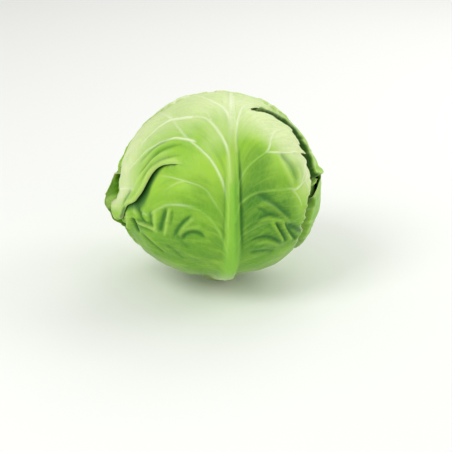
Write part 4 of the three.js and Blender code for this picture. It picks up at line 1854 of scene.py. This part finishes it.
@dataclass
class Heart:
    """The dense ball of folded leaves, with the edges of its folds in low relief.

    Sizes are in mm. around and up: faces of the ball; clearance: room under the leaves; fold_step: how
    high a fold's edge stands, and edge_at how far along the fold it is; folds: how many wind round it;
    twist, sway, sway_length and sway_seed: how they wind and waver; calm: how near its poles they fade.
    """

    finish: bpy.types.Material
    around: int = 150
    up: int = 110
    clearance: float = 2.2
    fold_step: float = 1.0
    edge_at: float = 0.93
    folds: int = 7
    twist: float = 0.35
    sway: float = 0.12
    sway_length: float = 60.0
    sway_seed: int = 7
    calm: float = 0.25
    base: float = field(default_factory=lambda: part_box("heart")[0].z / MM)

    def build(self) -> bpy.types.Object:
        """Builds the heart.

        Returns:
            The finished piece.
        """
        bm = bmesh.new()
        bmesh.ops.create_uvsphere(bm, u_segments=self.around, v_segments=self.up, radius=1.0)
        rays = np.array([v.co for v in bm.verts])
        rays /= np.linalg.norm(rays, axis=1, keepdims=True)
        turn = np.arctan2(rays[:, 1], rays[:, 0]) / (2 * math.pi) + self.twist * rays[:, 2]
        sway = self.sway * Ripple(self.sway_seed, self.sway_length)(rays * HEAD.radius)
        lap = (turn * self.folds + sway) % 1.0
        away = smoothstep(0, self.calm, 1 - np.abs(rays[:, 2]))
        step = self.fold_step * away * lap * (1 - smoothstep(self.edge_at, 1.0, lap))
        radius = LAYERS.floor(0, rays) - self.clearance - self.fold_step + step
        points = HEAD.points(rays, radius)
        points[:, 2] = np.maximum(points[:, 2], self.base)
        place_vertices(bm, points)
        piece = finish_piece(bm, "heart_dressed", self.finish)
        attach(piece, "root")
        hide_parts("heart")
        return piece


@dataclass
class Stump:
    """The cut stem: a ringed cut face at the bottom, and a ribbed barrel up into the head.

    Sizes are in mm, and places on the face in shares of its radius. waist: height of the barrel under
    the cone, which narrows by taper; chamfer and chamfer_start: its foot's round corner, and the angle
    that it starts at; wall_start: height of the first ring on the wall; rings: how many the face, the
    chamfer, the wall, the cone and the lid have; ring, ring_width and ring_depth: the woody ring on the
    cut face, with fibre_width, core_fibre and core_width for its fibres; face and face_rough: how far
    the cut is rough, and by how much; flutes, flute_depth, overtone and flute_start: the ribs of the
    barrel, the finer ones on them as (number, share, phase), and where they start; rind_edge and
    rind_start: where the rind begins, on the face and up the wall.
    """

    finish: bpy.types.Material
    radius: float = field(default_factory=lambda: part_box("stump")[1].x / MM)
    top: float = field(default_factory=lambda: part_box("stump")[1].z / MM)
    waist: float = 9.0
    taper: float = 0.8
    chamfer: float = 1.2
    chamfer_start: float = 0.3
    wall_start: float = 2.5
    rings: tuple[int, int, int, int, int] = (16, 4, 5, 10, 4)
    ring: float = 0.78
    ring_width: float = 0.06
    ring_depth: float = 0.25
    fibre_width: float = 0.12
    core_fibre: float = 0.4
    core_width: float = 0.2
    face: float = 0.9
    face_rough: float = 0.06
    rough_length: float = 3.0
    rough_seed: int = 3
    flutes: int = 11
    flute_depth: float = 0.35
    overtone: tuple[int, float, float] = (3, 0.5, 1.0)
    flute_start: float = 1.0
    rind_edge: tuple[float, float] = (0.88, 0.97)
    rind_start: float = 0.3
    steps: int = 144

    def profile(self) -> list[tuple[float, float]]:
        """Draws half the stem's outline.

        Returns:
            Points in mm as (radius, height), from the axis at the foot to the axis at the top.
        """
        face, chamfer, wall, cone, lid = self.rings
        narrow = self.radius * self.taper
        points = [(share * (self.radius - self.chamfer), 0.0) for share in np.linspace(0, 1, face)]
        for angle in np.linspace(self.chamfer_start, math.pi / 2, chamfer):
            inward = self.chamfer * (1 - math.sin(angle))
            points.append((self.radius - inward, self.chamfer * (1 - math.cos(angle))))
        points += [(self.radius, height) for height in np.linspace(self.wall_start, self.waist, wall)]
        for share in np.linspace(1 / cone, 1, cone):
            height = self.waist + (self.top - self.waist) * share
            points.append((self.radius + (narrow - self.radius) * share, height))
        return points + [(narrow * (1 - share), self.top) for share in np.linspace(1 / lid, 1, lid)]

    def fluted(self, points: Array, share: Array) -> Array:
        """Shapes the ribs of the barrel.

        Args:
            points: points in mm.
            share: how far out each lies, in shares of the radius.

        Returns:
            How far each is moved out, in mm, which is 0 or less.
        """
        turn = np.arctan2(points[:, 1], points[:, 0])
        wall = smoothstep(self.face, 1.0, share / np.where(points[:, 2] > self.waist, self.taper, 1.0))
        number, part, phase = self.overtone
        flute = np.sin(self.flutes * turn) + part * np.sin(number * self.flutes * turn + phase)
        on_wall = (points[:, 2] > self.flute_start) & (points[:, 2] < self.top)
        return np.where(on_wall, np.minimum(self.flute_depth * wall * flute, 0), 0)

    def build(self) -> bpy.types.Object:
        """Builds the stump.

        Returns:
            The finished piece.
        """
        bm = bmesh.new()
        verts = [bm.verts.new((r * MM, 0, z * MM)) for r, z in self.profile()]
        edges = [bm.edges.new(pair) for pair in zip(verts, verts[1:])]
        bmesh.ops.spin(
            bm, geom=verts + edges, cent=(0, 0, 0), axis=(0, 0, 1), angle=2 * math.pi, steps=self.steps,
            use_merge=True,
        )
        bmesh.ops.remove_doubles(bm, verts=bm.verts, dist=WELD)
        points = np.array([v.co for v in bm.verts]) / MM
        across = np.hypot(points[:, 0], points[:, 1])
        share = across / self.radius
        points[:, :2] *= (1 + self.fluted(points, share) / np.maximum(across, 1))[:, None]
        on_face = (points[:, 2] < FLAT) & (share < self.face)
        rough = self.face_rough * np.maximum(0, 1 + Ripple(self.rough_seed, self.rough_length)(points))
        ring = self.ring_depth * bell(share - self.ring, self.ring_width)
        points[:, 2] += np.where(on_face, ring + rough, 0)
        place_vertices(bm, points)
        piece = finish_piece(bm, "stump_dressed", self.finish)
        fibre = bell(share - self.ring, self.fibre_width) + self.core_fibre * bell(share, self.core_width)
        rind = np.where(points[:, 2] > self.rind_start, 1.0, smoothstep(*self.rind_edge, share))
        paint_on(piece, {"fibre": fibre, "rind": rind})
        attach(piece, "root")
        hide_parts("stump")
        return piece


# ---------------------------------------------------------------- the studio


@dataclass(frozen=True)
class SoftLight:
    """A square soft light that looks at the head. Lengths are in metres, power in watts."""

    name: str
    place: tuple[float, float, float]
    size: float
    power: float
    tint: str = "#ffffff"

    def build(self, aim: Vector) -> None:
        """Hangs the light.

        Args:
            aim: the point that it looks at.
        """
        lamp = bpy.data.lights.new(self.name, "AREA")
        lamp.size = self.size
        lamp.energy = self.power
        lamp.color = linear(self.tint)[:3]
        light = bpy.data.objects.new(self.name, lamp)
        light.location = self.place
        light.rotation_mode = "QUATERNION"
        light.rotation_quaternion = (aim - Vector(self.place)).to_track_quat("-Z", "Y")
        bpy.context.scene.collection.objects.link(light)


@dataclass(frozen=True)
class Studio:
    """White paper floor, soft lights and the camera. Lengths are in metres.

    aim_right and aim_down: how far beside and below the head's middle the camera looks.
    """

    elevation: float = 20.0
    distance: float = 1.1
    lens: float = 100.0
    aim_right: float = 0.0061
    aim_down: float = 0.0298
    floor_reach: float = 4.0
    ambient: float = 0.62
    lights: tuple[SoftLight, ...] = (
        SoftLight("key_light", (-0.9, -0.8, 1.3), 0.8, 11.0),
        SoftLight("fill_light", (0.9, -1.3, 0.7), 1.0, 2.0),
        SoftLight("side_light", (1.15, 0.3, 0.85), 0.8, 4.5),
        SoftLight("back_light", (0.5, 1.1, 1.1), 0.9, 4.5),
    )

    def build(self) -> None:
        """Sets up the floor, the world, the lights and the camera."""
        scene = bpy.context.scene
        scene.view_settings.view_transform = "Standard"
        bm = bmesh.new()
        bmesh.ops.create_grid(bm, x_segments=8, y_segments=8, size=self.floor_reach)
        floor = finish_piece(bm, "studio_floor", FloorFinish().make())
        world = bpy.data.worlds.new("soft_white_room")
        world.use_nodes = True
        background = world.node_tree.nodes["Background"]
        background.inputs["Color"].default_value = (1.0, 1.0, 1.0, 1.0)
        background.inputs["Strength"].default_value = self.ambient
        scene.world = world
        middle = Vector((0, 0, HEAD.middle * MM))
        for light in self.lights:
            light.build(middle)
        tilt = self.elevation * DEG
        back = Vector((0, -math.cos(tilt), math.sin(tilt)))
        up = Vector((0, math.sin(tilt), math.cos(tilt)))
        aim = middle + Vector((self.aim_right, 0, 0)) - up * self.aim_down
        lens = bpy.data.cameras.new("studio_camera")
        lens.lens = self.lens
        camera = bpy.data.objects.new("studio_camera", lens)
        camera.location = middle + back * self.distance
        camera.rotation_mode = "QUATERNION"
        camera.rotation_quaternion = (aim - camera.location).to_track_quat("-Z", "Y")
        scene.collection.objects.link(camera)
        scene.camera = camera


def main() -> None:
    """Builds the studio and every piece of the head."""
    logging.basicConfig(level=logging.INFO, format="%(name)s: %(message)s")
    Studio().build()
    wrapper = LeafFinish("waxy_wrapper_leaf").make()
    inner = LeafFinish("waxy_inner_leaf", blade="#97c552", fresh="#add566", deep_and_shade="#5f9c38").make()
    builders = [Stump(StumpFinish().make()), Heart(HeartFinish().make())]
    for layer, leaf in enumerate(LAYERS.leaves):
        builders.append(LeafShell(LeafSurface(layer), inner if leaf.hidden else wrapper))
    for builder in builders:
        piece = builder.build()
        LOG.info("%s: %d faces", piece.name, len(piece.data.polygons))


if __name__ == "__main__":
    main()
